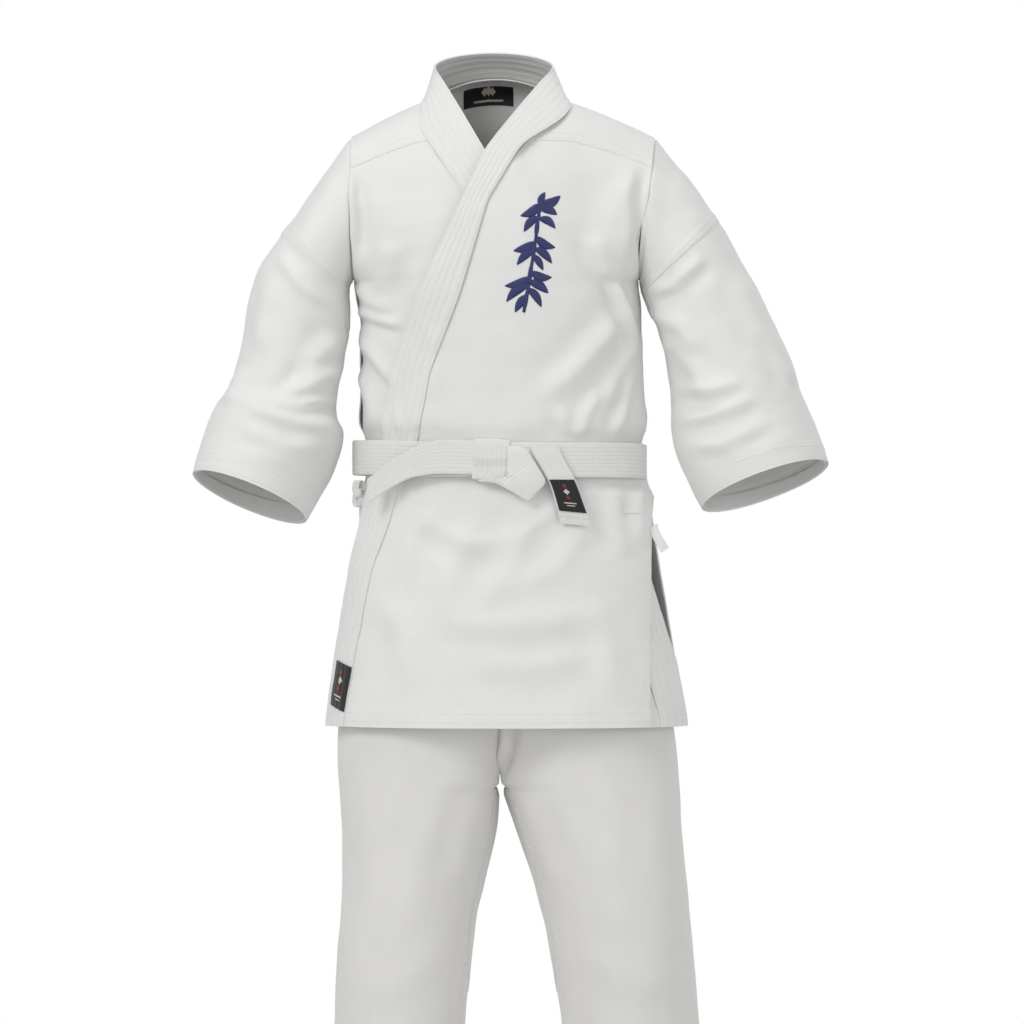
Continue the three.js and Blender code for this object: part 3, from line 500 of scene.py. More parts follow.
# side is -1 in front and +1 behind; across runs from 0 at -X to 1 at +X; height is nominal.
def torsoPoint(side, across, height):
    across, height = np.broadcast_arrays(np.asarray(across, float), np.asarray(height, float))
    left, right, front, back = (softColumn(torsoStations, i, height) for i in (1, 2, 3, 4))
    rise = np.clip((height - torso["armpit"]) / -torso["armpit"], 0, 1)
    rounded = signedPower(-np.cos(math.pi * across), 2 / torso["power"])
    share = mix(rounded, 2 * across - 1, smooth(rise / 0.25))
    x = mix(mix(left, -torso["shoulderHalf"], rise), mix(right, torso["shoulderHalf"], rise), (share + 1) / 2)
    crown = (1 - rise ** 2.6) ** (1 / 2.6)
    armhole = torso["armhole"] * np.sqrt(np.maximum(0, 1 - (2 * rise - 1) ** 2))
    bulge = (1 - np.minimum(1, np.abs(share)) ** torso["power"]) ** (1 / torso["power"])
    depth = (front if side < 0 else back) * crown * bulge + armhole * (1 - bulge) * np.abs(share) ** 3
    top = shoulderLine(x)
    if side > 0:
        lifted = np.maximum(0, 1 - ((x - torso["neckCentre"]) / torso["neckHalf"]) ** 2)
        top = top + torso["neckRise"] * lifted
        depth = depth + torso["neckDepth"] * np.sqrt(lifted) * rise ** 4
    depth = depth + 0.4 * rise ** 20
    z = np.where(height > torso["armpit"], mix(torso["armpit"], top, rise), height)
    return np.stack([x, side * depth, z], -1)


def acrossOf(line, height, side=-1):
    height = np.asarray(height, float)
    low, high = np.zeros_like(height), np.ones_like(height)
    for _ in range(26):
        middle = (low + high) / 2
        p = torsoPoint(side, middle, height)
        before = p[..., 0] < lineX(line, p[..., 2])
        low, high = np.where(before, middle, low), np.where(before, high, middle)
    return (low + high) / 2


def straight(x):
    return [(-2000, x), (2000, x)]


def crossingShare(z):
    return smooth((z + 330) / 110)


def overLift(p):
    reach = lineX(underEdge, p[..., 2]) + 46 - p[..., 0]
    return (overCloth + 1.9 * crossingShare(p[..., 2])) * smooth(reach / 30)


# How far the cloth stands off its smooth shape, the same for every layer so that none cuts another.
def torsoRelief(p, side):
    x, z = p[..., 0], p[..., 2]
    away = np.abs(z - torso["belt"] + torso["beltTilt"] * x)
    free = smooth((away - 19) / 22)
    edges = smooth((np.minimum(x + 190, 190 - x) + 25) / 40)
    nearNeck = 1 - 0.8 * smooth((z + 60) / 50)
    relief = 1.95 * foldField(x, z, frontFolds if side < 0 else backFolds)
    relief += 0.9 * ripple(x, z * 0.6, 95, 5 + side) + 0.35 * ripple(x, z, 38, 11 + side)
    pleats = np.abs(np.sin(x / 8.5 + 1.3 * np.sin(x / 23 + side) + 0.02 * z)) ** 3
    sides = 0.25 + 0.75 * smooth((np.abs(x + 5) - 45) / 70)
    relief += 2.3 * sides * pleats * bell(away - 34, 20) * free
    relief += (2.6 if side < 0 else 4.0) * bell(away - 44, 26)
    return relief * free * edges * nearNeck


def layPanel(side, fromAcross, toAcross, heights, columns, lift=0.0, ease=None):
    u = np.linspace(0, 1, columns) if ease is None else ease
    across = fromAcross[:, None] * (1 - u) + toAcross[:, None] * u
    base = torsoPoint(side, across, heights[:, None] + 0 * across)
    normals = outwardNormals(base, "front" if side < 0 else "back")
    offset = (lift(base) if callable(lift) else lift) + torsoRelief(base, side)
    return base + normals * offset[..., None], normals


def hemmed(grid, normals, edgeRow, widthMm, rise=0.7):  # a turned hem stands a little proud of the cloth
    drop = np.linalg.norm(grid - grid[edgeRow], axis=2)
    step = rise * (1 - smooth((drop - widthMm + 1) / 2.0))
    grooves = 0.45 * (bell(drop - widthMm + 2.5, 1.1) + bell(drop - 2.5, 1.1))
    return grid + normals * (step - grooves)[..., None]


def sideColumns(count):  # evenly spaced shares across, from 0 to 1
    u = np.linspace(0, 1, count)
    return u


# A lapel's free edge: on its line, but never further from the seam than the band is wide.
def bandEdge(seamLine, edgeLine, rows):
    width = 47.5 if seamLine is overSeam else 72
    seam, edge = acrossOf(seamLine, rows), acrossOf(edgeLine, rows)
    shares = np.linspace(0, 1, 41)
    line = torsoPoint(-1, seam[:, None] + (edge - seam)[:, None] * shares, rows[:, None] + 0 * shares)
    length = np.cumsum(np.linalg.norm(np.diff(line, axis=1, prepend=line[:, :1]), axis=2), 1)
    reached = np.array([np.interp(width, one, shares) for one in length])
    return seam + (edge - seam) * reached


# ---- Jacket fronts and back ----
print("uniform: jacket panels")
jacket = dict(step=3.2, columns=104, hemWidth=20, sideGap=0.0006, flapEdge=166, seamStitch=3.4)


def heightsBetween(low, high, step=None):
    return np.linspace(low, high, max(4, int(round((high - low) / (step or jacket["step"]))) + 1))


def limitRows(rows, line):
    return acrossOf(line, rows)


upperRows = heightsBetween(torso["belt"] + 2, torso["yokeSeam"] - 0.4)
skirtRows = heightsBetween(torso["hem"], torso["belt"] - 2)
sideAt = jacket["sideGap"]


def drawnBack(edge, seam, rows):
    return mix(bandEdge(seam, edge, rows), acrossOf(seam, rows), smooth((rows + 107) / 24))


frontSkirtBend = ("jacket", "front_skirt", (0, -121, -462), (0, -121, -530))
backSkirtBend = ("jacket", "back_skirt", (0, 106, -462), (0, 106, -530))

grid, away = layPanel(-1, 0 * upperRows + sideAt, drawnBack(underEdge, underSeam, upperRows), upperRows, 96)
rightFront = clothFrom("rightFront", grid, layers["cloth"], jacketCotton, "front")
fit(rightFront, "jacket", ["front_right_panel"], (0.285, 0.385))

grid, away = layPanel(-1, drawnBack(overEdge, overSeam, upperRows), 0 * upperRows + 1 - sideAt, upperRows, 112,
                      overLift)
leftFront = clothFrom("leftFront", grid, layers["cloth"], jacketCotton, "front")
fit(leftFront, "jacket", ["front_left_panel"], (0.31, 0.385))

grid, away = layPanel(-1, 0 * skirtRows + 0.012, bandEdge(underSeam, underEdge, skirtRows), skirtRows, 100)
grid = hemmed(grid, away, 0, jacket["hemWidth"])
rightSkirt = clothFrom("rightFrontSkirt", grid, layers["cloth"], jacketCotton, "front")
fit(rightSkirt, frontSkirtBend, ["front_right_skirt"], (0.42, 0.31))
jacketSeams = [(rowLine(grid, away, nearest(skirtRows, torso["hem"] + d)), frontSkirtBend) for d in (8, 17.5)]

flapAt = np.minimum(1 - sideAt, acrossOf(straight(jacket["flapEdge"]), skirtRows))
grid, away = layPanel(-1, bandEdge(overSeam, overEdge, skirtRows), flapAt, skirtRows, 110, overCloth)
grid = hemmed(grid, away, 0, jacket["hemWidth"])
leftSkirt = clothFrom("leftFrontSkirt", grid, layers["cloth"], jacketCotton, "front")
fit(leftSkirt, frontSkirtBend, ["front_left_skirt"], (0.42, 0.31))
frontStitches = [rowLine(grid, away, nearest(skirtRows, torso["hem"] + d)) for d in (8, 17.5)]
frontStitches += [columnLine(grid, away, -1 - k) for k in (1, 3)]
flapTree = BVHTree.FromObject(leftSkirt, bpy.context.evaluated_depsgraph_get())

grid, away = layPanel(1, 0 * upperRows + sideAt, 0 * upperRows + 1 - sideAt, upperRows, 124)
backPanel = clothFrom("backPanel", grid, layers["cloth"], jacketCotton, "back")
fit(backPanel, "jacket", ["back_panel"], (0.40, 0.385))
backTop = (grid, away)

grid, away = layPanel(1, 0 * skirtRows + sideAt, 0 * skirtRows + 1 - sideAt, skirtRows, 124)
grid = hemmed(grid, away, 0, jacket["hemWidth"])
backSkirt = clothFrom("backSkirt", grid, layers["cloth"], jacketCotton, "back")
fit(backSkirt, backSkirtBend, ["back_skirt"], (0.46, 0.31))
backStitches = [rowLine(grid, away, nearest(skirtRows, torso["hem"] + d)) for d in (8, 17.5)]

# The yoke laps over the panels below it and runs over the shoulders.
yoke = dict(lap=6, rise=0.9)
turns = np.linspace(0, 1, 26)
yokeRows = mix(torso["yokeSeam"] - yoke["lap"], 0, np.sin(turns * math.pi / 2))
yokeStitches = []


def yokePanel(name, side, low, high, columns, node, cut):
    grid, away = layPanel(side, low, high, yokeRows, columns)
    grid = grid + away * (yoke["rise"] * (1 - smooth((yokeRows - torso["yokeSeam"] - 4) / 12)))[:, None, None]
    piece = clothFrom(name, grid, layers["cloth"], jacketCotton, "front" if side < 0 else "back")
    fit(piece, "jacket", [node], cut)
    for rise in (2.2, 8.5):
        yokeStitches.append(rowLine(grid, away, nearest(yokeRows, torso["yokeSeam"] - yoke["lap"] + rise)))


yokePanel("backYoke", 1, 0 * yokeRows + 0.004, 0 * yokeRows + 0.996, 110, "back_yoke", (0.38, 0.086))
yokePanel("rightFrontYoke", -1, 0 * yokeRows + 0.004, acrossOf(underSeam, yokeRows) + 0.03, 34, "front_yoke_right",
          (0.095, 0.085))
yokePanel("leftFrontYoke", -1, acrossOf(overSeam, yokeRows) - 0.03, 0 * yokeRows + 0.996, 38, "front_yoke_left",
          (0.11, 0.085))
fit(sew("yokeStitches", yokeStitches), "jacket")

# ---- Collar and lapels: one stiff band runs from the belt up round the neck and down again ----
print("uniform: collar and lapels")
band = dict(columns=34, edgeHalf=67.5, topX=-10.5, topZ=40, topRise=19, start=-6, deep=45, lap=5, crossing=-61.5,
            stitchAt=(0.07, 0.24, 0.42, 0.6, 0.78, 0.93), groove=0.7, seamRidge=0.5, sewnDown=0.85)
across = np.linspace(0, 1, band["columns"])


def neckEdge(turn):
    turn = np.asarray(turn, float)
    behind = np.sin(math.pi * turn)
    return np.stack([band["topX"] - band["edgeHalf"] * np.cos(math.pi * turn), band["start"] + band["deep"] * behind,
                     band["topZ"] + band["topRise"] * behind], -1)


def lapelBase(seamLine, edgeLine, rows):
    seam, edge = acrossOf(seamLine, rows), bandEdge(seamLine, edgeLine, rows)
    return torsoPoint(-1, seam[:, None] + (edge - seam)[:, None] * across, rows[:, None] + 0 * across)


def neckBase(seamLine, side, shares):
    low = band["crossing"]
    foot = torsoPoint(-1, acrossOf(overEdge, np.array([low])), np.array([low]))[0]
    top = neckEdge(0.0 if side < 0 else 1.0)
    rows = []
    for v in shares:
        height = low * (1 - v)
        x = mix(lineX(seamLine, height), torso["neckCentre"] + side * torso["neckHalf"], float(smooth(v)))
        seam = torsoPoint(-1, acrossOf(straight(x), np.array([height])), np.array([height]))[0]
        edge = foot + (top - foot) * v - np.array([0, 10 * math.sin(math.pi * v), 0])
        rows.append(seam + (edge - seam) * across[:, None])
    return np.array(rows)


def collarBase(turnsRound):
    rows = []
    for turn in turnsRound:
        x = torso["neckCentre"] - torso["neckHalf"] * 0.985 * math.cos(math.pi * turn)
        height = np.array([-float(band["lap"])])
        seam = torsoPoint(1, acrossOf(straight(x), height + 4, 1), height)[0]
        rows.append(seam + (neckEdge(turn) - seam) * across[:, None])
    return np.array(rows)


def softened(rows, reach):
    steps = np.arange(-3 * reach, 3 * reach + 1)
    weights = np.exp(-(steps / reach) ** 2)
    padded = np.concatenate([2 * rows[:1] - rows[3 * reach:0:-1], rows, 2 * rows[-1:] - rows[-2:-3 * reach - 2:-1]])
    return sum(w * padded[i:i + len(rows)] for i, w in enumerate(weights)) / weights.sum()


# Quilted rows press grooves into the band, and its sewn edge stands up as a ridge.
def bandRelief(widthMm=46):
    dents = sum(bell((across - at) * widthMm, 1.3) for at in band["stitchAt"])
    sewnDown = band["sewnDown"] * (1 - smooth(across * widthMm / 4))
    return band["seamRidge"] * bell((across - 0.08) * widthMm, 3) - band["groove"] * dents - sewnDown


bandRows = heightsBetween(torso["belt"], -64, 3.0)
leftPart = lapelBase(overSeam, overEdge, bandRows)
rightPart = lapelBase(underSeam, underEdge, bandRows)[::-1]
sections = [leftPart, neckBase(overSeam, 1, np.linspace(0.04, 0.96, 24)), collarBase(np.linspace(0.985, 0.015, 74)),
            neckBase(underSeam, -1, np.linspace(0.96, 0.04, 24)), rightPart]
leftRise = overLift(leftPart) + layers["gap"] + layers["band"] + 1.3 * crossingShare(leftPart[..., 2])
risen = [leftRise, np.linspace(1, 0, 24)[:, None] * (overBandOffset + 3.2 - underBandOffset) + underBandOffset + 0 * across,
         np.full((74, len(across)), underBandOffset), np.full((24, len(across)), underBandOffset),
         np.full(rightPart.shape[:2], underBandOffset)]
base = softened(np.concatenate(sections), 2)
lifted = softened(np.concatenate(risen), 3)
onTorso = np.concatenate([torsoRelief(leftPart, -1), np.zeros((122, len(across))), torsoRelief(rightPart, -1)])
away = gridNormals(base)
if away[10, 10, 1] > 0:
    away = -away
waver = 0.5 * ripple(np.arange(len(base))[:, None] * 3.0 + 0 * across, 46 * across[None, :], 120, 31)
grid = base + away * (lifted + onTorso + bandRelief() + waver * (1 - across) * across * 2)[..., None]
neckBand = clothFrom("collarAndLapels", grid, layers["band"], bandCotton, "side" if False else "front")
fit(neckBand, "jacket", ["collar_band", "lapel_left", "lapel_left_neck", "lapel_right", "lapel_right_neck"],
    (0.048, 1.16))
away = gridNormals(grid)
if away[10, 10, 1] > 0:
    away = -away
fit(sew("collarStitches", [columnLine(grid, away, nearest(across, at)) for at in band["stitchAt"]]), "jacket")


def lowerLapel(name, seamLine, edgeLine, offset, node, low):
    rows = heightsBetween(low, torso["belt"], 3.0)
    lowBase = lapelBase(seamLine, edgeLine, rows)
    normals = outwardNormals(lowBase, "front")
    placed = lowBase + normals * (offset + torsoRelief(lowBase, -1) + bandRelief())[..., None]
    piece = clothFrom(name, placed, layers["band"], bandCotton, "front")
    fit(piece, frontSkirtBend, [node], (0.045, 0.31))
    return [columnLine(placed, normals, nearest(across, at)) for at in band["stitchAt"]], placed, normals


lines, leftLapel, leftLapelAway = lowerLapel("leftLapelSkirt", overSeam, overEdge, overBandOffset, "lapel_left_skirt",
                                             torso["hem"])
lapelTree = BVHTree.FromObject(bpy.data.objects["leftLapelSkirt"], bpy.context.evaluated_depsgraph_get())
frontStitches += lines
frontStitches += lowerLapel("rightLapelSkirt", underSeam, underEdge, underBandOffset, "lapel_right_skirt",
                            torso["hem"])[0]
frontStitches += [line for line, _ in jacketSeams]
fit(sew("frontSkirtStitches", frontStitches), frontSkirtBend)
fit(sew("backSkirtStitches", backStitches), backSkirtBend)

# ---- Sleeves ----
print("uniform: sleeves")
sleeve = dict(columns=108, seam=1, split=2.5, turnup=22, lap=3.0)
# outer x and z, inner x and z, centre y, half depth, forward tilt
sleeveStations = {
    "right": [(-177, -41, -174.5, -206, 0, 78, 0), (-255, -150, -178, -220, 0, 80, 0),
              (-293, -218, -178, -263, -1, 81, 0), (-313, -321, -193, -352, -4, 84, 4),
              (-332, -352, -184, -384, -9, 88, 8), (-350, -399, -197, -428, -16, 89, 11),
              (-358, -431, -227, -482, -26, 84, 12)],
    "left": [(177, -41, 158.5, -206, 0, 78, 0), (248, -136, 162, -219, 0, 80, 0), (275, -183, 172, -250, -1, 81, 0),
             (328, -291, 193, -330, -4, 84, 4), (347, -342, 196, -382, -9, 88, 8), (366, -388, 207, -425, -16, 91, 11),
             (376, -419, 230, -468, -26, 87, 12)],
}
sleeveFolds = {
    "right": [([(-182, -80), (-214, -130), (-236, -185)], 16, 2.6), ([(-196, -240), (-230, -214), (-262, -170)], 8, 3.0),
              ([(-184, -262), (-214, -300), (-232, -345)], 11, 4.2), ([(-182, -300), (-222, -330), (-262, -340)], 9, 4.4),
              ([(-188, -338), (-232, -352), (-286, -344)], 9, 4.8), ([(-186, -376), (-236, -372), (-300, -352)], 9, 4.4),
              ([(-196, -398), (-250, -396), (-312, -372)], 11, 3.2), ([(-262, -200), (-276, -250), (-282, -300)], 13, 3.0),
              ([(-300, -300), (-306, -330), (-322, -352)], 9, 3.4), ([(-230, -420), (-270, -412), (-318, -410)], 13, 2.0)],
    "left": [([(186, -84), (214, -120), (232, -160)], 16, 2.4), ([(164, -222), (196, -214), (236, -176)], 8, 3.2),
             ([(168, -238), (206, -262), (232, -300)], 11, 4.4), ([(176, -262), (218, -306), (244, -350)], 11, 4.2),
             ([(192, -330), (236, -336), (282, -322)], 9, 4.0), ([(196, -372), (240, -362), (298, -340)], 9, 4.2),
             ([(204, -398), (252, -396), (312, -366)], 10, 3.2), ([(262, -196), (292, -250), (308, -296)], 13, 3.0),
             ([(300, -260), (322, -300), (338, -334)], 9, 2.8), ([(240, -420), (290, -404), (346, -392)], 13, 2.2)],
}


def throughStations(table, at):  # a smooth curve through every station
    rows = np.array(table, float)
    rows = np.concatenate([2 * rows[:1] - rows[1:2], rows, 2 * rows[-1:] - rows[-2:-1]])
    i = np.clip(np.floor(at).astype(int), 0, len(table) - 2)
    t = (at - i)[:, None]
    p0, p1, p2, p3 = rows[i], rows[i + 1], rows[i + 2], rows[i + 3]
    return 0.5 * (2 * p1 + (p2 - p0) * t + (2 * p0 - 5 * p1 + 4 * p2 - p3) * t ** 2
                  + (3 * p1 - p0 - 3 * p2 + p3) * t ** 3)


def sleeveGrid(word, stations, turnDegrees, offset=0.0):
    sign = -1 if word == "right" else 1
    ox, oz, ix, iz, cy, deep, tilt = throughStations(sleeveStations[word], stations).T
    angle = np.radians(turnDegrees)[None, :]
    tilt = np.radians(tilt)
    outer, inner = np.stack([ox, cy, oz], 1), np.stack([ix, cy, iz], 1)
    centre = (outer + inner) / 2
    forward = np.stack([0 * tilt, -np.cos(tilt), np.sin(tilt)], 1)
    grid = (centre[:, None, :] + (outer - centre)[:, None, :] * np.cos(angle)[..., None]
            + forward[:, None, :] * deep[:, None, None] * np.sin(angle)[..., None])
    away = gridNormals(grid, len(turnDegrees) > 60)
    if ((grid - centre[:, None, :]) * away).sum() < 0:
        away = -away
    x, z = grid[..., 0], grid[..., 2]
    front = smooth(np.sin(angle) * 2.2 + 0.35)
    relief = 1.9 * front * foldField(x, z, sleeveFolds[word])
    relief += 1.6 * (1 - front) * foldField(x, z - 12, [(line, w * 1.3, r * 0.8) for line, w, r in sleeveFolds[word][::-1]])
    relief += 1.1 * ripple(x * 1.0 + 30 * np.sin(angle), z * 0.8, 84, 41 + sign) + 0.4 * ripple(x, z, 34, 51 + sign)
    fade = smooth((stations - 0.02) / 0.45)[:, None] * (1 - 0.65 * smooth((stations - 5.0) / 0.8))[:, None]
    relief = relief * fade
    return grid + away * (relief + offset)[..., None], away


around = np.linspace(0, 360, sleeve["columns"] + 1)[:-1]
armBend = {"right": ("jacket", "right_arm", (-174.5, 0, -200), (-194.5, 0, -201.3)),
           "left": ("jacket", "left_arm", (158.5, 0, -200), (180.5, 0, -201.4))}
elbowBend = {"right": ("right_arm", "right_forearm", (-244, 0, -289), (-270, 0, -384)),
             "left": ("left_arm", "left_forearm", (243, 0, -262), (273, 0, -356))}

for word in ("right", "left"):
    stations = np.linspace(0.0, sleeve["seam"] + 0.03, 40)
    ends = smooth((stations - sleeve["seam"] + 0.16) / 0.1)[:, None]
    grid, away = sleeveGrid(word, stations, around, 1.1 * ends)
    # the first rings tuck in under the body's armhole
    inwards = np.array([-7.0 if word == "left" else 7.0, 0, 0])
    tucked = [grid[:1] + inwards - away[:1] * 3.4, grid[:1] + inwards * 0.5 - away[:1] * 2.6,
              grid[:1] + inwards * 0.1 - away[:1] * 1.6]
    grid = np.concatenate(tucked + [grid[1:]])
    away = np.concatenate([away[:1]] * 3 + [away[1:]])
    piece = clothFrom(word + "DropShoulder", grid, layers["cloth"], jacketCotton, "round", True)
    fit(piece, armBend[word], ["drop_shoulder_" + word], (0.40, 0.078))
    seams = [rowLine(grid, away, -2, closed=True), rowLine(grid, away, -5, closed=True)]
    stations = np.linspace(sleeve["seam"] - 0.02, sleeve["split"], 40)
    grid, away = sleeveGrid(word, stations, around)
    piece = clothFrom(word + "UpperSleeve", grid, layers["cloth"], jacketCotton, "round", True)
    fit(piece, armBend[word], ["upper_sleeve_" + word], (0.44, 0.10))
    stations = np.linspace(0.12, 2.0, 44)
    under = np.linspace(158, 202, 16)
    halfWidth = 22 * np.sqrt(np.clip(1 - np.abs(stations - 1.06) / 1.0, 0.03, 1))
    wide = 180 + (under[None, :] - 180) / 22 * halfWidth[:, None]
    rows = [sleeveGrid(word, stations, np.linspace(180 - 22, 180 + 22, 16))]
    grid, away = rows[0]
    piece = clothFrom(word + "UnderarmGusset", grid + away * 0.9, layers["cloth"] * 0.4, jacketCotton, "round")
    fit(piece, armBend[word], ["underarm_gusset_" + word], (0.05, 0.065))
    seams += [columnLine(grid + away * 0.9, away, 1), columnLine(grid + away * 0.9, away, -2)]
    fit(sew(word + "SleeveStitches", seams), armBend[word])

    stations = np.concatenate([np.linspace(sleeve["split"], 5.4, 84), np.linspace(5.4, 6, 22)[1:]])
    grid, away = sleeveGrid(word, stations, around)
    grid = hemmed(grid, away, -1, sleeve["turnup"])
    piece = clothFrom(word + "Sleeve", grid, layers["cloth"], jacketCotton, "round", True)
    fit(piece, elbowBend[word], ["sleeve_body_" + word, "forearm_sleeve_" + word], (0.46, 0.185))
    low = np.linalg.norm(grid - grid[-1], axis=2).mean(1)
    hems = [rowLine(grid, away, nearest(low, d), closed=True) for d in (19.5, 3.0)]
    fit(sew(word + "CuffStitches", hems), elbowBend[word])
    stations = np.linspace(5.62, 5.985, 8)
    grid, away = sleeveGrid(word, stations, around, -layers["cloth"] - 0.3)
    piece = clothFrom(word + "CuffTurnup", grid, layers["cloth"] * 0.8, jacketCotton, "round", True)
    fit(piece, elbowBend[word], ["cuff_turnup_" + word], (0.46, 0.02))

# ---- Belt: two wraps of quilted webbing, the knot, and its two stiff ends ----
print("uniform: belt and knot")
belt = dict(width=40, rows=9, groove=0.42, steps=330, columns=55, knotLeft=-34.5, knotRight=7, face=101.5)
beltAcross = np.linspace(-belt["width"] / 2, belt["width"] / 2, belt["columns"])
rowPlaces = (np.arange(belt["rows"]) + 0.5) / belt["rows"] * belt["width"] - belt["width"] / 2
wrapFace = belt["face"] + beltOuter
knotFace = wrapFace + layers["gap"] + layers["belt"]


def webbingRelief(places):  # grooves along the stitched rows, and a rounded edge
    dents = sum(bell(places - at, 0.75) for at in rowPlaces)
    return -belt["groove"] * dents - 1.1 * smooth((np.abs(places) - belt["width"] / 2 + 1.6) / 1.6)


def beltGrid(offset):
    turn = np.linspace(0, 1, belt["steps"] + 1)[:-1]
    side = np.where(turn < 0.5, -1, 1)
    acrossAt = np.where(turn < 0.5, 2 * turn, 2 - 2 * turn)
    ring = np.where((side < 0)[:, None], torsoPoint(-1, acrossAt, torso["belt"] + 0 * turn),
                    torsoPoint(1, acrossAt, torso["belt"] + 0 * turn))
    frontShare = np.where(turn < 0.5, 1 - smooth((2 * turn - 0.8) / 0.2), smooth((2 * turn - 1.85) / 0.15))
    snug = offset - beltInner + layers["gap"] + layers["belt"]
    rise = mix(snug, offset, frontShare)
    grid = np.repeat(ring[None], len(beltAcross), 0)
    sag = 1.1 * np.sin(turn * 2 * math.pi * 3 + 0.6) * smooth((np.abs(ring[:, 0]) - 40) / 60)
    grid[..., 2] = torso["belt"] - torso["beltTilt"] * grid[..., 0] + beltAcross[:, None] + sag
    away = outwardNormals(grid, "round", True)
    away[..., 2] = 0
    away = unit(away)
    return grid + away * (rise + 0 * beltAcross[:, None])[..., None], away


webbing = webbingRelief(beltAcross)
beltStitches = []
for name, offset, node in (("beltInnerWrap", beltInner, "belt_inner_wrap"), ("beltOuterWrap", beltOuter, "belt_outer_wrap")):
    grid, away = beltGrid(offset)
    grid = grid + away * webbing[:, None, None]
    piece = clothFrom(name, grid, layers["belt"] - 0.3, beltCotton, "round", True)
    fit(piece, "jacket", [node], (1.0, 0.04))
    beltStitches = [rowLine(grid, away, nearest(beltAcross, at), closed=True) for at in rowPlaces]
fit(sew("beltStitches", beltStitches, pitch=4.4, length=3.3), "jacket")

# The knot's band goes once round the wraps, with its rows running up and down.
knotColumns = np.linspace(belt["knotLeft"], belt["knotRight"], 47)
knotRowsAt = (np.arange(8) + 0.5) / 8 * (belt["knotRight"] - belt["knotLeft"]) + belt["knotLeft"]
halfTall, back = belt["width"] / 2 + 2.4, belt["face"] + overCloth + layers["gap"] + 1.6
deepMiddle, deepHalf = (knotFace + back) / 2, (knotFace - back) / 2
turn = np.linspace(0, 2 * math.pi, 97)[:-1]
loopZ = signedPower(np.sin(turn), 2 / 5.5) * (halfTall + 0.8)
loopY = signedPower(np.cos(turn), 2 / 5.5) * deepHalf
pinch = 1 - 0.05 * bell((knotColumns - 7) / 14, 1.0)
grid = np.stack([np.broadcast_to(knotColumns[:, None], (47, 96)),
                 -(deepMiddle + loopY[None, :] + 0 * knotColumns[:, None]),
                 torso["belt"] + 0.4 + loopZ[None, :] * pinch[:, None]], -1)
grid[..., 0] += 1.5 * np.sin(turn)[None, :]
away = outwardNormals(grid, "round", True)
shape = -0.5 * sum(bell(knotColumns - at, 0.8) for at in knotRowsAt)
shape -= 1.0 * smooth((np.abs(knotColumns + 13.75) - 19.2) / 1.6)
bulgeOut = 1.3 * np.cos((knotColumns + 13.75) / 42 * math.pi)
grid = grid + away * (shape + bulgeOut * 0.6)[:, None, None]
knotBand = clothFrom("beltKnotBand", grid, layers["belt"] - 0.2, beltCotton, "round", True)
fit(knotBand, "jacket", ["belt_knot_band"], (0.04, 0.125))
fit(sew("knotStitches", [rowLine(grid, away, nearest(knotColumns, at), closed=True) for at in knotRowsAt]), "jacket")


# A crowned, closed pad on a rounded outline, for the knot's fold and for the bow.
def crownedPad(name, outline, back, front, material, relief=None, rings=26, corner=5, power=2.6):
    outline = np.array(outline, float)
    legs = np.roll(outline, -1, 0) - outline
    starts = np.concatenate([[0], np.cumsum(np.linalg.norm(legs, axis=1))])
    at = np.linspace(0, starts[-1], 145)[:-1]
    closed = np.concatenate([outline, outline[:1]])
    rim = np.stack([np.interp(at, starts, closed[:, i]) for i in (0, 1)], 1)
    steps = np.arange(-2 * corner, 2 * corner + 1)
    weights = np.exp(-(steps / corner) ** 2)
    rim = sum(w * np.roll(rim, s, 0) for s, w in zip(steps, weights)) / weights.sum()
    middle = rim.mean(0)
    shares = np.sin(np.linspace(0, 1, rings)[1:] * math.pi / 2)
    flat = middle + shares[:, None, None] * (rim - middle)
    crown = (1 - shares[:, None] ** power + 0 * flat[..., 0]) ** (1 / power)
    half, centreY = (back - front) / 2, (back + front) / 2
    bump = relief(flat[..., 0], flat[..., 1]) * crown if relief else 0
    faceY = centreY - half * crown - bump
    backY = centreY + half * crown
    n, m = flat.shape[:2]
    vertices = [np.stack([flat[..., 0], faceY, flat[..., 1]], -1).reshape(-1, 3),
                np.stack([flat[:-1, :, 0], backY[:-1], flat[:-1, :, 1]], -1).reshape(-1, 3)]
    top = np.array([[middle[0], faceY[0].mean(), middle[1]], [middle[0], backY[0].mean(), middle[1]]])
    points = np.concatenate(vertices + [top])
    faces = []
    for layer in (0, 1):
        start = layer * n * m

        def index(i, j):
            return (i if layer and i == n - 1 else 0) * 0 + (start + i * m + j % m if not (layer and i == n - 1)
                                                             else (n - 1) * m + j % m)
        hub = len(points) - 2 + layer
        for j in range(m):
            faces.append((hub, index(0, j), index(0, j + 1), index(0, j + 1))[::1 if layer else -1])
            for i in range(n - 1):
                quad = (index(i, j), index(i + 1, j), index(i + 1, j + 1), index(i, j + 1))
                faces.append(quad[::1 if layer else -1])
    mesh = bpy.data.meshes.new(name)
    clean = [tuple(dict.fromkeys(f)) for f in faces]
    mesh.from_pydata([tuple(p * mm) for p in points], [], clean)
    layer = mesh.uv_layers.new(name="clothUV")
    for loop in mesh.loops:
        p = mesh.vertices[loop.vertex_index].co
        layer.data[loop.index].uv = (p.x, p.z)
    mesh.polygons.foreach_set("use_smooth", np.ones(len(mesh.polygons), bool))
    mesh.materials.append(material)
    made = bpy.data.objects.new(name, mesh)
    scene.collection.objects.link(made)
    volume = sum(p.center.dot(p.normal) * p.area for p in mesh.polygons)
    if volume < 0:
        mesh.flip_normals()
    return made


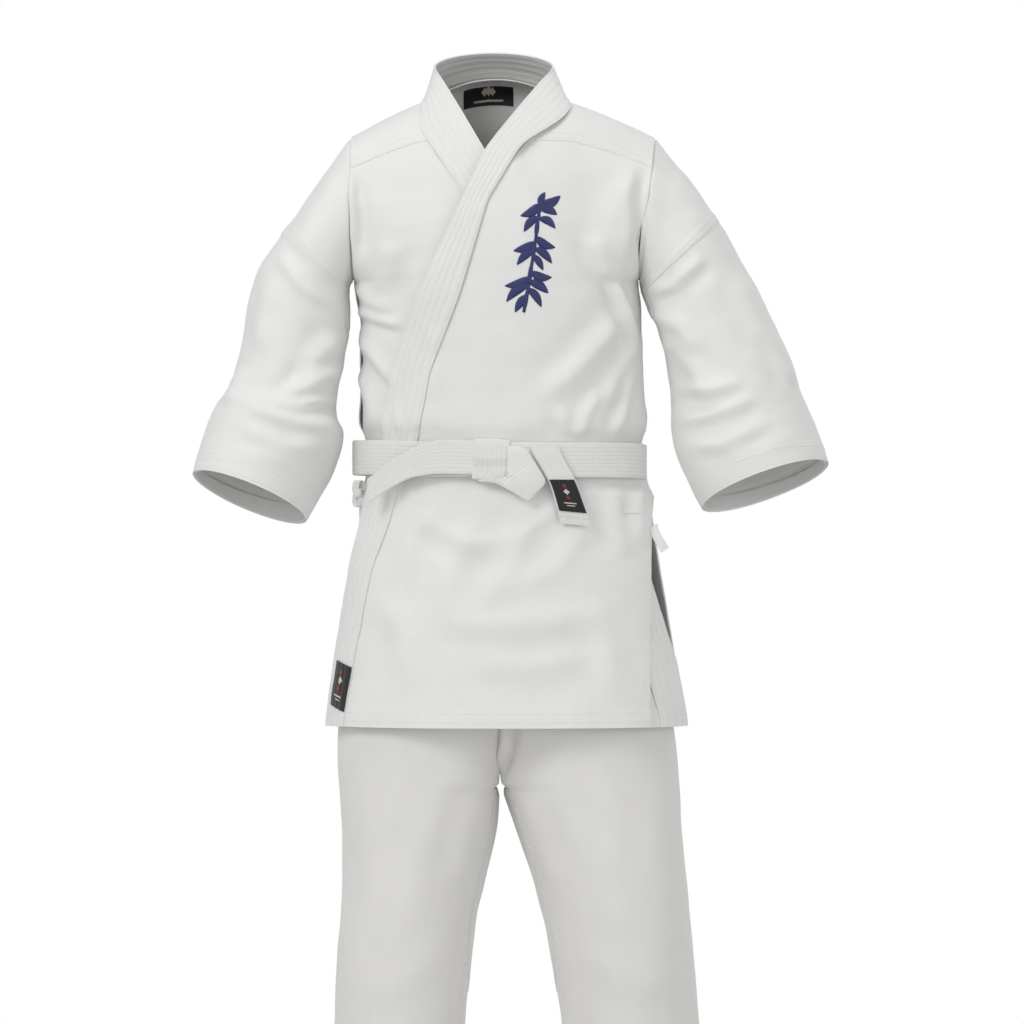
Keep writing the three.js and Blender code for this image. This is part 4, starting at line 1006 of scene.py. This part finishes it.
def foldRelief(x, z):  # the rows turn with the fold, so they run down to the left here
    along = (x * 0.82 + z * 0.57)
    rows = -0.55 * sum(bell(((along + 3) % 4.6) - 2.3, 0.9) for _ in (0,))
    knit = 0.28 * np.sin((x * 0.57 - z * 0.82) / 0.62)
    return rows + knit + 0.9 * ripple(x, z, 30, 77)


below = torso["belt"] - belt["width"] / 2 - 4
foldOutline = [(belt["knotRight"] - 1.5, torso["belt"] + 17), (27, torso["belt"] + 13), (50.6, torso["belt"] - 26),
               (29, torso["belt"] - 49), (12, torso["belt"] - 38), (-8, below - 3), (-30, below - 1.5),
               (-30, below + 1), (belt["knotRight"] - 1.5, below + 2)]
knotFold = crownedPad("beltKnotFold", foldOutline, -wrapFace + 0.5, -wrapFace - 9.5, beltCotton, foldRelief, corner=3,
                      power=4.0)
fit(knotFold, "jacket", ["belt_knot_fold"])

tails = dict(thickness=2.0, rightEnd=-155.5, slope=0.13, inset=1.2)
rightTop = [(-155, -438), (-138, -422), (-105, -401), (-83, -393), (-63, -391), (-36, -392.5)]
rightFoot = [(-156, -466), (-138, -452), (-108, -435), (-78, -430), (-36, -431)]
tailBend = {"right": ("jacket", "tail_right", (-34, -120, -412), (-60, -120, -412)),
            "left": ("jacket", "tail_left", (45, -120, -398), (48, -120, -426))}
u = np.linspace(0, 1, 90)
v = (beltAcross / belt["width"] + 0.5)
x = mix(belt["knotLeft"] + 1.5, tails["rightEnd"], u)


def smoothLine(line, at):
    return sum(lineX(line, at + s) * w for s, w in ((-9, 0.2), (-4, 0.2), (0, 0.2), (4, 0.2), (9, 0.2)))


tilt = 5.5 * smooth((u - 0.35) / 0.6)
grid = np.stack([np.broadcast_to(x[:, None], (90, len(v))),
                 (24 * u ** 1.5)[:, None] - knotFace + 0.3 + 1.5 * np.sin(u * 5)[:, None] * v[None, :],
                 mix(smoothLine(rightFoot, x)[:, None], smoothLine(rightTop, x)[:, None], v[None, :])], -1)
away = outwardNormals(grid, "front")
grid = grid + away * (webbing[None, :] - 0.8 * smooth((u[:, None] - 0.975) / 0.025))[..., None]
piece = clothFrom("beltTailRight", grid, tails["thickness"], beltCotton, "front")
fit(piece, tailBend["right"], ["belt_tail_right"], (0.04, 0.132))
lines = [columnLine(grid, away, nearest(beltAcross, at)) for at in rowPlaces]
lines += [rowLine(grid, away, -3), rowLine(grid, away, -8)]
fit(sew("tailRightStitches", lines), tailBend["right"])

leftInner = [(-489, 66.7), (-437, 53), (-399, 28.5)]
leftOuter = [(-489, 103), (-438, 84), (-399, 62)]


def leftTailAt(share, height, out=0.0):
    inner = sum(lineX(leftInner, height + s) for s in (-14, -7, 0, 7, 14)) / 5
    outer = sum(lineX(leftOuter, height + s) for s in (-14, -7, 0, 7, 14)) / 5
    x = mix(inner, outer, share)
    curl = 2.5 * np.sin((height + 489) / 90 * math.pi)
    return np.stack([x, tails["slope"] * (x - 28.5) + tails["inset"] - knotFace - out - curl, height], -1)


heights = np.linspace(-488.5, -399, 66)
grid = leftTailAt(v[None, :] + 0 * heights[:, None], heights[:, None] + 0 * v[None, :])
grid[..., 2] += ((v[None, :] - 0.5) * -3.0) * smooth((-440 - heights[:, None]) / 30)
away = outwardNormals(grid, "front")
slit = 0.9 * bell(heights + 481.5, 0.9)
grid = grid + away * (webbing[None, :] - slit[:, None])[..., None]
piece = clothFrom("beltTailLeft", grid, tails["thickness"], beltCotton, "front")
fit(piece, tailBend["left"], ["belt_tail_left"], (0.04, 0.092))
lines = [columnLine(grid, away, nearest(beltAcross, at)) for at in rowPlaces]
fit(sew("tailLeftStitches", lines + [rowLine(grid, away, nearest(heights, -484.5))]), tailBend["left"])
tailTree = BVHTree.FromObject(piece, bpy.context.evaluated_depsgraph_get())


# ---- Labels and embroidery lie on the cloth under them ----
print("uniform: labels and embroidery")


def lieOn(tree, x, z, lift, direction=(0, 1, 0)):
    points, aways = [], []
    reach = Vector(direction)
    for px, pz in zip(np.ravel(x), np.ravel(z)):
        origin = Vector((px * mm, 0, pz * mm)) - reach * 0.5
        hit, normal, _, _ = tree.ray_cast(origin, reach)
        if hit is None:
            hit, normal, _, _ = tree.find_nearest(Vector((px * mm, -0.11 * reach.y, pz * mm)))
        if normal.dot(reach) > 0:
            normal = -normal
        points.append(np.array(hit) / mm + np.array(normal) * lift)
        aways.append(np.array(normal))
    return np.array(points).reshape(*np.shape(x), 3), np.array(aways).reshape(*np.shape(x), 3)


# Leaf shapes in the flat, as rings round a crown; each is one satin-stitched patch.
def leafPatch(tree, tip, foot, width, lift, crown, bend=0.0, direction=(0, 1, 0), steps=13, blunt=0.0):
    tip, foot = np.array(tip, float), np.array(foot, float)
    along = np.linspace(0, 1, steps)
    spread = np.linspace(-1, 1, 5)
    middle = foot + (tip - foot) * along[:, None]
    aside = np.array([-(tip - foot)[1], (tip - foot)[0]]) / (np.linalg.norm(tip - foot) + 1e-9)
    middle = middle + aside * bend * np.sin(math.pi * along)[:, None]
    half = width / 2 * np.maximum(np.sin(math.pi * along ** 0.8) ** 0.75, blunt + 0.04)
    flat = middle[:, None, :] + aside * (half[:, None] * spread[None, :])[..., None]
    points, aways = lieOn(tree, flat[..., 0], flat[..., 1], 0, direction)
    top = points + aways * (lift + crown * (1 - spread ** 2)[None, :] * (half / half.max())[:, None])[..., None]
    low = points + aways * (lift - 0.35)
    return top, low


def patchMesh(name, patches, material):
    vertices, faces = [], []
    for top, low in patches:
        start = len(vertices)
        rows, columns = top.shape[:2]
        count = rows * columns
        vertices += list(top.reshape(-1, 3)) + list(low.reshape(-1, 3))
        for i in range(rows - 1):
            for j in range(columns - 1):
                a = start + i * columns + j
                faces.append((a, a + 1, a + columns + 1, a + columns))
                faces.append((a + count, a + columns + count, a + columns + 1 + count, a + 1 + count))
        for i in range(rows - 1):
            a, b = start + i * columns, start + (i + 1) * columns
            faces += [(a, b, b + count, a + count)]
            a, b = a + columns - 1, b + columns - 1
            faces += [(a, a + count, b + count, b)]
        for j in range(columns - 1):
            a = start + j
            faces += [(a, a + count, a + count + 1, a + 1)]
            a = start + (rows - 1) * columns + j
            faces += [(a, a + 1, a + count + 1, a + count)]
    mesh = bpy.data.meshes.new(name)
    mesh.from_pydata([tuple(p * mm) for p in vertices], [], faces)
    mesh.update()
    first = mesh.polygons[0]
    if (first.normal.y > 0) == (patches[0][0][..., 1].mean() < patches[0][1][..., 1].mean()):
        mesh.flip_normals()
    mesh.polygons.foreach_set("use_smooth", np.ones(len(mesh.polygons), bool))
    mesh.materials.append(material)
    made = bpy.data.objects.new(name, mesh)
    scene.collection.objects.link(made)
    return made


# A label or a mark lies on a map that gives a point and its outward direction for shares s, t.
def patchOn(name, surface, sRange, tRange, lift, thickness, material, count=(14, 18), facing="front"):
    s, t = np.meshgrid(np.linspace(*sRange, count[0]), np.linspace(*tRange, count[1]))
    points, aways = surface(s, t)
    return clothFrom(name, points + aways * lift, thickness, material, facing)


def marksOn(name, surface, shapes, lift, material):  # shapes: middle s and t, half width, half height, bluntness
    patches = []
    for s0, t0, halfS, halfT, blunt in shapes:
        along, spread = np.linspace(-1, 1, 9), np.linspace(-1, 1, 3)
        wide = np.maximum(1 - np.abs(along), blunt)
        points, aways = surface(s0 + halfS * wide[:, None] * spread[None, :], t0 + halfT * along[:, None] + 0 * spread)
        patches.append((points + aways * (lift + 0.2 * (1 - spread ** 2))[None, :, None], points + aways * (lift - 0.3)))
    return patchMesh(name, patches, material)


# Three lozenges in a column over two short bars.
def labelMarks(name, surface, lift, body):
    fit(marksOn(name + "Mark", surface, [(0.5, 0.62, 0.13, 0.09, 0.1), (0.5, 0.27, 0.24, 0.018, 1), (0.5, 0.19, 0.16, 0.014, 1)],
                lift, labelCream), body)
    fit(marksOn(name + "Accent", surface, [(0.5, 0.8, 0.1, 0.07, 0.1), (0.5, 0.44, 0.1, 0.07, 0.1)], lift, labelRed), body)


def onGrid(grid, away, rowRange, columnRange, slant=0.0):
    def surface(s, t):
        r = mix(*rowRange, t) - slant * s
        c = mix(*columnRange, s)
        i, j = np.floor(r).astype(int), np.floor(c).astype(int)
        fr, fc = (r - i)[..., None], (c - j)[..., None]

        def read(values):
            return mix(mix(values[i, j], values[i, j + 1], fc), mix(values[i + 1, j], values[i + 1, j + 1], fc), fr)
        return read(grid), unit(read(away))
    return surface


lapelRows = heightsBetween(torso["hem"], torso["belt"], 3.0)
labelRow = leftLapel[nearest(lapelRows, -675), ::-1, 0]
labelSide = band["columns"] - 1 - np.interp(-174, labelRow, np.arange(band["columns"]))
lapelMap = onGrid(leftLapel, leftLapelAway, (nearest(lapelRows, -696), nearest(lapelRows, -647)),
                  (min(labelSide + 0.62 * band["columns"], band["columns"] - 1.5), labelSide), 2.6)
fit(patchOn("lapelLabel", lapelMap, (0, 1), (0, 1), 1.6, 0.6, labelSatin), "front_skirt", ["lapel_label"],
    (0.03, 0.054))
labelMarks("lapelLabel", lapelMap, 1.9, "front_skirt")


def tailMap(s, t):
    heights = mix(-474.0, -437.0, t)
    points = leftTailAt(0.05 + 0.9 * s, heights)
    points[..., 2] += (s - 0.5) * -3.0 * smooth((-440 - heights) / 30)
    return points, np.broadcast_to(unit(np.array([0.13, -1.0, 0.0])), points.shape)


fit(patchOn("beltLabel", tailMap, (0, 1), (0, 1), 1.1, 0.6, labelSatin), "tail_left", ["belt_label"],
    (0.034, 0.038))
labelMarks("beltLabel", tailMap, 1.4, "tail_left")

chestTree = BVHTree.FromObject(leftFront, bpy.context.evaluated_depsgraph_get())
# A bamboo sprig: a jointed stem and three bunches of leaves.
stem = [(44, -112), (41, -136), (38, -160), (34, -186), (30, -214), (24, -246)]
leaves = [((20, -136), (42, -122), 10.8, 3), ((66, -112), (44, -122), 10.8, -3), ((62, -134), (42, -126), 10.8, 2),
          ((24, -154), (40, -136), 9.5, -2), ((60, -150), (41, -138), 9.5, 3), ((48, -108), (42, -124), 8.1, 1),
          ((12, -176), (38, -166), 10.8, 2), ((60, -172), (38, -160), 10.8, -3), ((56, -190), (37, -172), 9.5, 2),
          ((16, -192), (36, -174), 9.5, -2), ((46, -198), (35, -180), 8.1, 1),
          ((2, -216), (31, -206), 10.8, 3), ((56, -206), (32, -200), 10.8, -3), ((52, -224), (30, -210), 10.8, 2),
          ((4, -234), (29, -214), 10.8, -3), ((44, -240), (29, -218), 9.5, 2), ((14, -246), (27, -226), 9.5, -1)]
patches = [leafPatch(chestTree, stem[i], stem[i + 1], 5.4, 0.5, 0.9, 0.5, steps=9, blunt=0.62) for i in range(5)]
patches += [leafPatch(chestTree, tip, foot, width, 0.5, 1.1, bend) for tip, foot, width, bend in leaves]
fit(patchMesh("chestEmbroidery", patches, navyThread), "jacket", ["chest_embroidery"])



def neckMap(s, t):  # inside the back yoke, facing forwards
    heights, x = mix(-25.0, -3.0, np.asarray(t, float)), mix(-46.0, 12.0, np.asarray(s, float))
    low, high = np.zeros_like(x), np.ones_like(x)
    for _ in range(26):
        middle = (low + high) / 2
        before = torsoPoint(1, middle, heights)[..., 0] < x
        low, high = np.where(before, middle, low), np.where(before, high, middle)
    points = torsoPoint(1, (low + high) / 2, heights)
    return points - np.array([0, layers["cloth"], 0]), np.broadcast_to(np.array([0.0, -1.0, 0.0]), points.shape)


fit(patchOn("neckLabel", neckMap, (0, 1), (0, 1), 1.2, 0.6, labelSatin), "jacket", ["neck_label"],
    (0.058, 0.032))
fit(marksOn("neckLabelMark", neckMap, [(0.42, 0.62, 0.07, 0.2, 0.1), (0.5, 0.66, 0.07, 0.24, 0.1),
                                       (0.58, 0.62, 0.07, 0.2, 0.1), (0.5, 0.22, 0.3, 0.05, 1)], 1.5, labelCream), "jacket")

# ---- Ties at the side seams, and the tie's patch on the flap ----
print("uniform: side ties")


def tapeAlong(name, path, width, thickness, spreadAxis, material):
    path = np.array(path, float)
    t = np.linspace(0, len(path) - 1, 40)
    points = throughStations(path, t)
    side = unit(np.array(spreadAxis, float))
    w = np.linspace(-width / 2, width / 2, 9)
    grid = points[:, None, :] + side * w[None, :, None]
    grid = grid + outwardNormals(grid, "front") * (0.25 - 0.5 * bell(np.abs(w) - width / 2 + 1.4, 0.6))[None, :, None]
    return clothFrom(name, grid, thickness, material, "front")


piece = tapeAlong("sideTieEnd", [(173.2, -46, -490), (176, -49, -499), (181, -51, -508), (187, -52, -518)], 10, 1.2,
                  (0.82, 0.1, 0.55), bandCotton)
fit(piece, "front_skirt", ["side_tie_end"], (0.01, 0.032))


def bowLoop(turnAt, size, squash, shift):
    t = np.linspace(0, 2 * math.pi, 49)
    ring = np.stack([-166.5 + 2.2 * np.cos(t) * squash, -36 + size * 0.42 * np.cos(t), shift + size * np.sin(t)], 1)
    return ring


bowParts = []
for shift, size, squash in ((-446, 8.5, 1.6), (-460, 8.5, -1.6)):
    ring = bowLoop(0, size, squash, shift)
    w = np.linspace(-4, 4, 7)
    grid = ring[:-1, None, :] + np.array([1.0, 0, 0]) * w[None, :, None]
    bowParts.append(clothFrom(f"bowLoop{len(bowParts)}", np.swapaxes(grid, 0, 1), 1.1, bandCotton, "round", True))
knot = crownedPad("sideBowKnot", [(-172, -446), (-162, -447), (-161, -457), (-171, -458)], -30, -43, bandCotton)
bpy.context.view_layer.objects.active = knot
with bpy.context.temp_override(active_object=knot, selected_editable_objects=[knot, *bowParts]):
    bpy.ops.object.join()
knot.name = "sideBow"
fit(knot, "jacket", ["side_bow"])
patchCorners = [(138, -476), (161, -475), (159.5, -452), (137, -452)]
flat = np.array(patchCorners, float)
s, t = np.meshgrid(np.linspace(0, 1, 14), np.linspace(0, 1, 14))
corner = (flat[0] * (1 - s)[..., None] + flat[1] * s[..., None]) * (1 - t)[..., None] + (
    flat[3] * (1 - s)[..., None] + flat[2] * s[..., None]) * t[..., None]
points, _ = lieOn(flapTree, corner[..., 0], corner[..., 1], 0.9)
piece = clothFrom("tiePatch", points, 0.6, jacketCotton, "front")
fit(piece, "jacket", (), (0.025, 0.03))

# ---- Trousers ----
print("uniform: trousers")
trousers = dict(step=5.0, columns=112, inseam=20, hipOpens=-560, crotch=-790, hem=-1370, turnup=30, waist=-400,
                bandHeight=38)
legStations = {
    "right": [(-400, -146, -4.5, 84, 84), (-490, -151, -4.5, 90, 94), (-575, -163, -4.5, 97, 103),
              (-650, -177, -4.5, 102, 108), (-722, -191, -4.5, 105, 110), (-790, -190, -4.5, 106, 110),
              (-850, -188, -11, 105, 108), (-930, -188, -31, 102, 104), (-1040, -193, -44, 96, 98),
              (-1200, -198, -54, 90, 92), (-1370, -200, -64, 84, 86)],
    "left": [(-400, 148, -3.5, 84, 84), (-490, 154, -3.5, 90, 94), (-575, 168, -3.5, 97, 103),
             (-650, 184, -3.5, 102, 108), (-722, 198, -3.5, 105, 110), (-790, 204, -3.5, 106, 110),
             (-850, 208, 19, 105, 108), (-930, 217, 45, 102, 104), (-1040, 228, 62, 96, 98),
             (-1200, 238, 82, 90, 92), (-1370, 246, 102, 84, 86)],
}
legFolds = {
    "right": [([(-30, -745), (-70, -800), (-110, -900)], 20, 3.4), ([(-12, -770), (-40, -830), (-56, -920)], 13, 3.2),
              ([(-160, -740), (-150, -850), (-156, -980)], 20, 3.0), ([(-110, -740), (-104, -860), (-120, -1000)], 22, 2.6),
              ([(-60, -960), (-110, -1010), (-170, -1030)], 20, 2.8), ([(-80, -1080), (-130, -1190), (-150, -1320)], 22, 3.2)],
    "left": [([(28, -745), (70, -810), (116, -900)], 20, 3.4), ([(8, -772), (36, -840), (70, -930)], 13, 3.0),
             ([(176, -745), (180, -850), (190, -980)], 20, 3.0), ([(120, -740), (128, -860), (140, -1000)], 22, 2.6),
             ([(90, -960), (140, -1010), (200, -1030)], 20, 2.8), ([(110, -1080), (150, -1190), (190, -1320)], 22, 3.2)],
}


crotchCreases = {"left": [([(17, -690), (12, -735), (5, -762), (0, -783)], 4.0, -11.0)], "right": []}


def legGrid(word, heights, turnDegrees, offset=0.0):
    outer, inner, front, back = (softColumn(legStations[word], i, heights, 40)[:, None] for i in (1, 2, 3, 4))
    closing = smooth((trousers["hipOpens"] - heights) / (trousers["hipOpens"] - trousers["crotch"]))
    shut = math.cos(math.radians(trousers["inseam"]))
    above = heights >= trousers["crotch"]
    ratio = np.where(above, shut * closing, 1.0)
    widest = np.arccos(-np.clip(ratio, 0, 1)) / math.pi
    span = np.where(above, widest / (1 - trousers["inseam"] / 180), 1.0)
    span = np.where(above, span, 1.0)[:, None]
    # the last twenty degrees each side close the half above the crotch
    t = turnDegrees[None, :]
    folded = np.where(np.abs(t) <= 180 - trousers["inseam"], t * span,
                      np.sign(t) * (span * (180 - trousers["inseam"])
                                    + (np.abs(t) - 180 + trousers["inseam"]) * mix(0.04, 1.0, smooth((trousers["crotch"] + 4 - heights) / 18))[:, None]))
    angle = np.radians(folded)
    centre = mix(inner, outer, (ratio / (1 + ratio))[:, None])
    x = centre + (outer - centre) * np.cos(angle)
    deep = np.where(angle > 0, front, back)
    return np.stack([x, -deep * np.sin(angle), heights[:, None] + 0 * x], -1)


def dressLeg(word, heights, offset=0.0):
    turns = np.linspace(-180, 180, trousers["columns"] + 1)[:-1]
    grid = legGrid(word, heights, turns)
    away = outwardNormals(grid, "round", True)
    x, z = grid[..., 0], grid[..., 2]
    front = smooth(np.sin(np.radians(turns)) * 2.2 + 0.4)[None, :]
    relief = front * foldField(x, z, legFolds[word])
    mirrored = [([(px + (12 if word == "right" else -12), pz - 30) for px, pz in line], w * 1.2, r * 1.1)
                for line, w, r in legFolds[word]]
    relief += (1 - front) * foldField(x, z, mirrored)
    relief += 1.7 * ripple(x, z * 0.35, 110, 61) + 0.5 * ripple(x, z * 0.7, 48, 62)
    gathers = 1.5 * np.sin(np.radians(turns) * 26)[None, :] * bell(heights + 440, 34)[:, None]
    low = 1 - 0.7 * smooth((heights + 560) / 120)
    high = smooth((heights - trousers["hem"]) / 40)
    inner = smooth((180 - np.abs(turns)) / 26)[None, :]
    keep = np.where(heights[:, None] > trousers["crotch"] - 10, inner, 1.0)
    relief = (relief * low[:, None] * (0.35 + 0.65 * high[:, None]) + gathers) * keep
    relief += front * foldField(x, z, crotchCreases[word])
    return grid + away * (relief + offset)[..., None], away, turns


kneeBend = {"right": ("trousers", "right_shin", (-118, 99, -975), (-118, 99, -1105)),
            "left": ("trousers", "left_shin", (145, 99, -975), (145, 99, -1105))}
legHeights = np.linspace(trousers["hem"], trousers["waist"] - 30, 188)
for word in ("right", "left"):
    grid, away, turns = dressLeg(word, legHeights)
    grid = hemmed(grid, away, 0, trousers["turnup"])
    piece = clothFrom(word + "Leg", grid, layers["cloth"], trouserCotton, "round", True)
    fit(piece, kneeBend[word], ["hip_" + word, "thigh_" + word, "lower_leg_" + word],
        (0.50, 0.98))
    low = legHeights - trousers["hem"]
    hems = [rowLine(grid, away, nearest(low, d), closed=True) for d in (3, 16, 27)]
    start, stop = nearest(legHeights, -1036), nearest(legHeights, -744)
    for angle in (158, -158):
        hems.append(columnLine(grid, away, nearest(turns, angle), start=start, stop=stop))
        hems.append(columnLine(grid, away, nearest(turns, angle * 0.975), start=start, stop=stop))
    fit(sew(word + "LegStitches", hems), kneeBend[word])
    # the long gusset is laid on the inside of the leg and narrows to its point at the knee
    rows = np.linspace(-1030, -794, 60)
    shares = np.linspace(-1, 1, 17)
    taper = 21 * smooth((rows + 1042) / 90) ** 0.5
    base, away, turns = dressLeg(word, rows)
    wrapped = np.concatenate([turns[turns >= 120], turns[turns <= -120] + 360])
    columns = np.concatenate([np.where(turns >= 120)[0], np.where(turns <= -120)[0]])
    order = np.argsort(wrapped)
    wrapped, columns = wrapped[order], columns[order]
    wanted = 180 + taper[:, None] * shares[None, :]
    gusset = np.stack([np.stack([np.interp(wanted[i], wrapped, (base + away * 0.75)[i, columns, k]) for k in range(3)], -1)
                       for i in range(len(rows))])
    nodes = ["inseam_gusset_" + word, "inseam_strip_" + word]
    piece = clothFrom(word + "LegGusset", gusset, 0.7, trouserCotton, "round")
    normals = outwardNormals(gusset, "side")
    if word == "right":
        normals = -normals if normals[..., 0].mean() < 0 else normals
    fit(piece, kneeBend[word], nodes, (0.06, 0.236))
    rows = np.linspace(trousers["hem"] + 1, trousers["hem"] + trousers["turnup"], 10)
    grid, away, turns = dressLeg(word, rows, -layers["cloth"] - 0.3)
    piece = clothFrom(word + "LegTurnup", grid, layers["cloth"] * 0.8, trouserCotton, "round", True)
    fit(piece, word + "_shin", ["leg_turnup_" + word], (0.5, 0.03))

# The waistband is a channel gathered on its elastic.
turn = np.linspace(0, 2 * math.pi, 241)[:-1]
rows = np.linspace(-trousers["bandHeight"] - 2, 0, 26)
middleX = -4.0
half = np.where(np.cos(turn) > 0, 148 - middleX, middleX + 146)
ring = np.stack([middleX + half * np.cos(turn), -84 * np.sin(turn), 0 * turn], 1)
grid = np.repeat(ring[None], len(rows), 0)
grid[..., 2] = trousers["waist"] + rows[:, None]
away = outwardNormals(grid, "round", True)
gather = np.sin(turn * 46 + 0.8 * np.sin(turn * 7)) * 0.9 + 0.5 * np.sin(turn * 71)
channel = 1 - 0.65 * (bell(rows + 3, 1.6) + bell(rows + 34, 1.6) + bell(rows + 18.5, 1.4))
roundOver = -1.8 * smooth((rows + 2.2) / 2.2)
grid = grid + away * (gather[None, :] * channel[:, None] - 0.7 * (1 - channel)[:, None] + roundOver[:, None])[..., None]
piece = clothFrom("trouserWaistband", grid, 5.2, trouserCotton, "round", True)
fit(piece, "trousers", ["waistband"], (0.96, 0.04))
lines = [rowLine(grid, away, nearest(rows, d), closed=True) for d in (-3, -18.5, -34)]
fit(sew("waistbandStitches", lines), "trousers")
elastic = grid[4:-4] - away[4:-4] * 1.9
piece = clothFrom("waistElastic", elastic, 1.4, elasticKnit, "round", True)
fit(piece, "trousers", ["waist_elastic"], (0.9, 0.03))

# ---- Floor, backdrop and light ----
print("uniform: floor and lights")


def plainSurface(name, code, glow=0.0):
    material, tree = startMaterial(name)
    shader = addNode(tree, "ShaderNodeBsdfPrincipled",
                     values={"Base Color": linearColour(code), "Roughness": 0.9,
                             "Emission Color": linearColour("#FFFFFF"), "Emission Strength": glow})
    addNode(tree, "ShaderNodeOutputMaterial", links={"Surface": (shader, "BSDF")})
    return material


light = dict(horizon=1.0, above=0.33, key=42, fill=10, top=16, rear=15, floorRadius=1.5)
rim = np.linspace(0, 2 * math.pi, 65)[:-1]
floor = bpy.data.meshes.new("floor")
floor.from_pydata([(light["floorRadius"] * math.cos(a), light["floorRadius"] * math.sin(a), -1.3722) for a in rim], [],
                  [tuple(range(64))])
floor.materials.append(plainSurface("matt white studio paper", "#EDEDED"))
floorObject = bpy.data.objects.new("floor", floor)
scene.collection.objects.link(floorObject)

world = bpy.data.worlds.new("studio")
scene.world = world
world.use_nodes = True
tree = world.node_tree
tree.nodes.clear()
place = addNode(tree, "ShaderNodeTexCoord")
parts = addNode(tree, "ShaderNodeSeparateXYZ", links={"Vector": (place, "Generated")})
level = addNode(tree, "ShaderNodeMath", {"operation": "ABSOLUTE"}, links={0: (parts, "Z")})
band = addNode(tree, "ShaderNodeMapRange",
               values={"From Min": 0.14, "From Max": 0.4, "To Min": light["horizon"], "To Max": light["above"]},
               links={"Value": (level, "Value")})
glow = addNode(tree, "ShaderNodeBackground", values={"Color": linearColour("#FFFFFF")},
               links={"Strength": (band, "Result")})
addNode(tree, "ShaderNodeOutputWorld", links={"Surface": (glow, "Background")})


def softbox(name, place, target, size, power):
    lamp = bpy.data.lights.new(name, "AREA")
    lamp.shape, lamp.size, lamp.energy = "SQUARE", size, power
    holder = bpy.data.objects.new(name, lamp)
    holder.location = place
    holder.rotation_euler = (Vector(target) - Vector(place)).to_track_quat("-Z", "Y").to_euler()
    scene.collection.objects.link(holder)


softbox("keySoftbox", (-1.9, -2.6, 1.5), (0, 0, -0.5), 1.4, light["key"])
softbox("fillSoftbox", (2.3, -2.6, 0.6), (0, 0, -0.5), 1.8, light["fill"])
softbox("topSoftbox", (0.2, -0.6, 2.4), (0, 0, -0.4), 1.4, light["top"])
softbox("rearSoftbox", (1.9, 2.4, 1.3), (0, 0, -0.5), 1.5, light["rear"])

print("uniform: done")
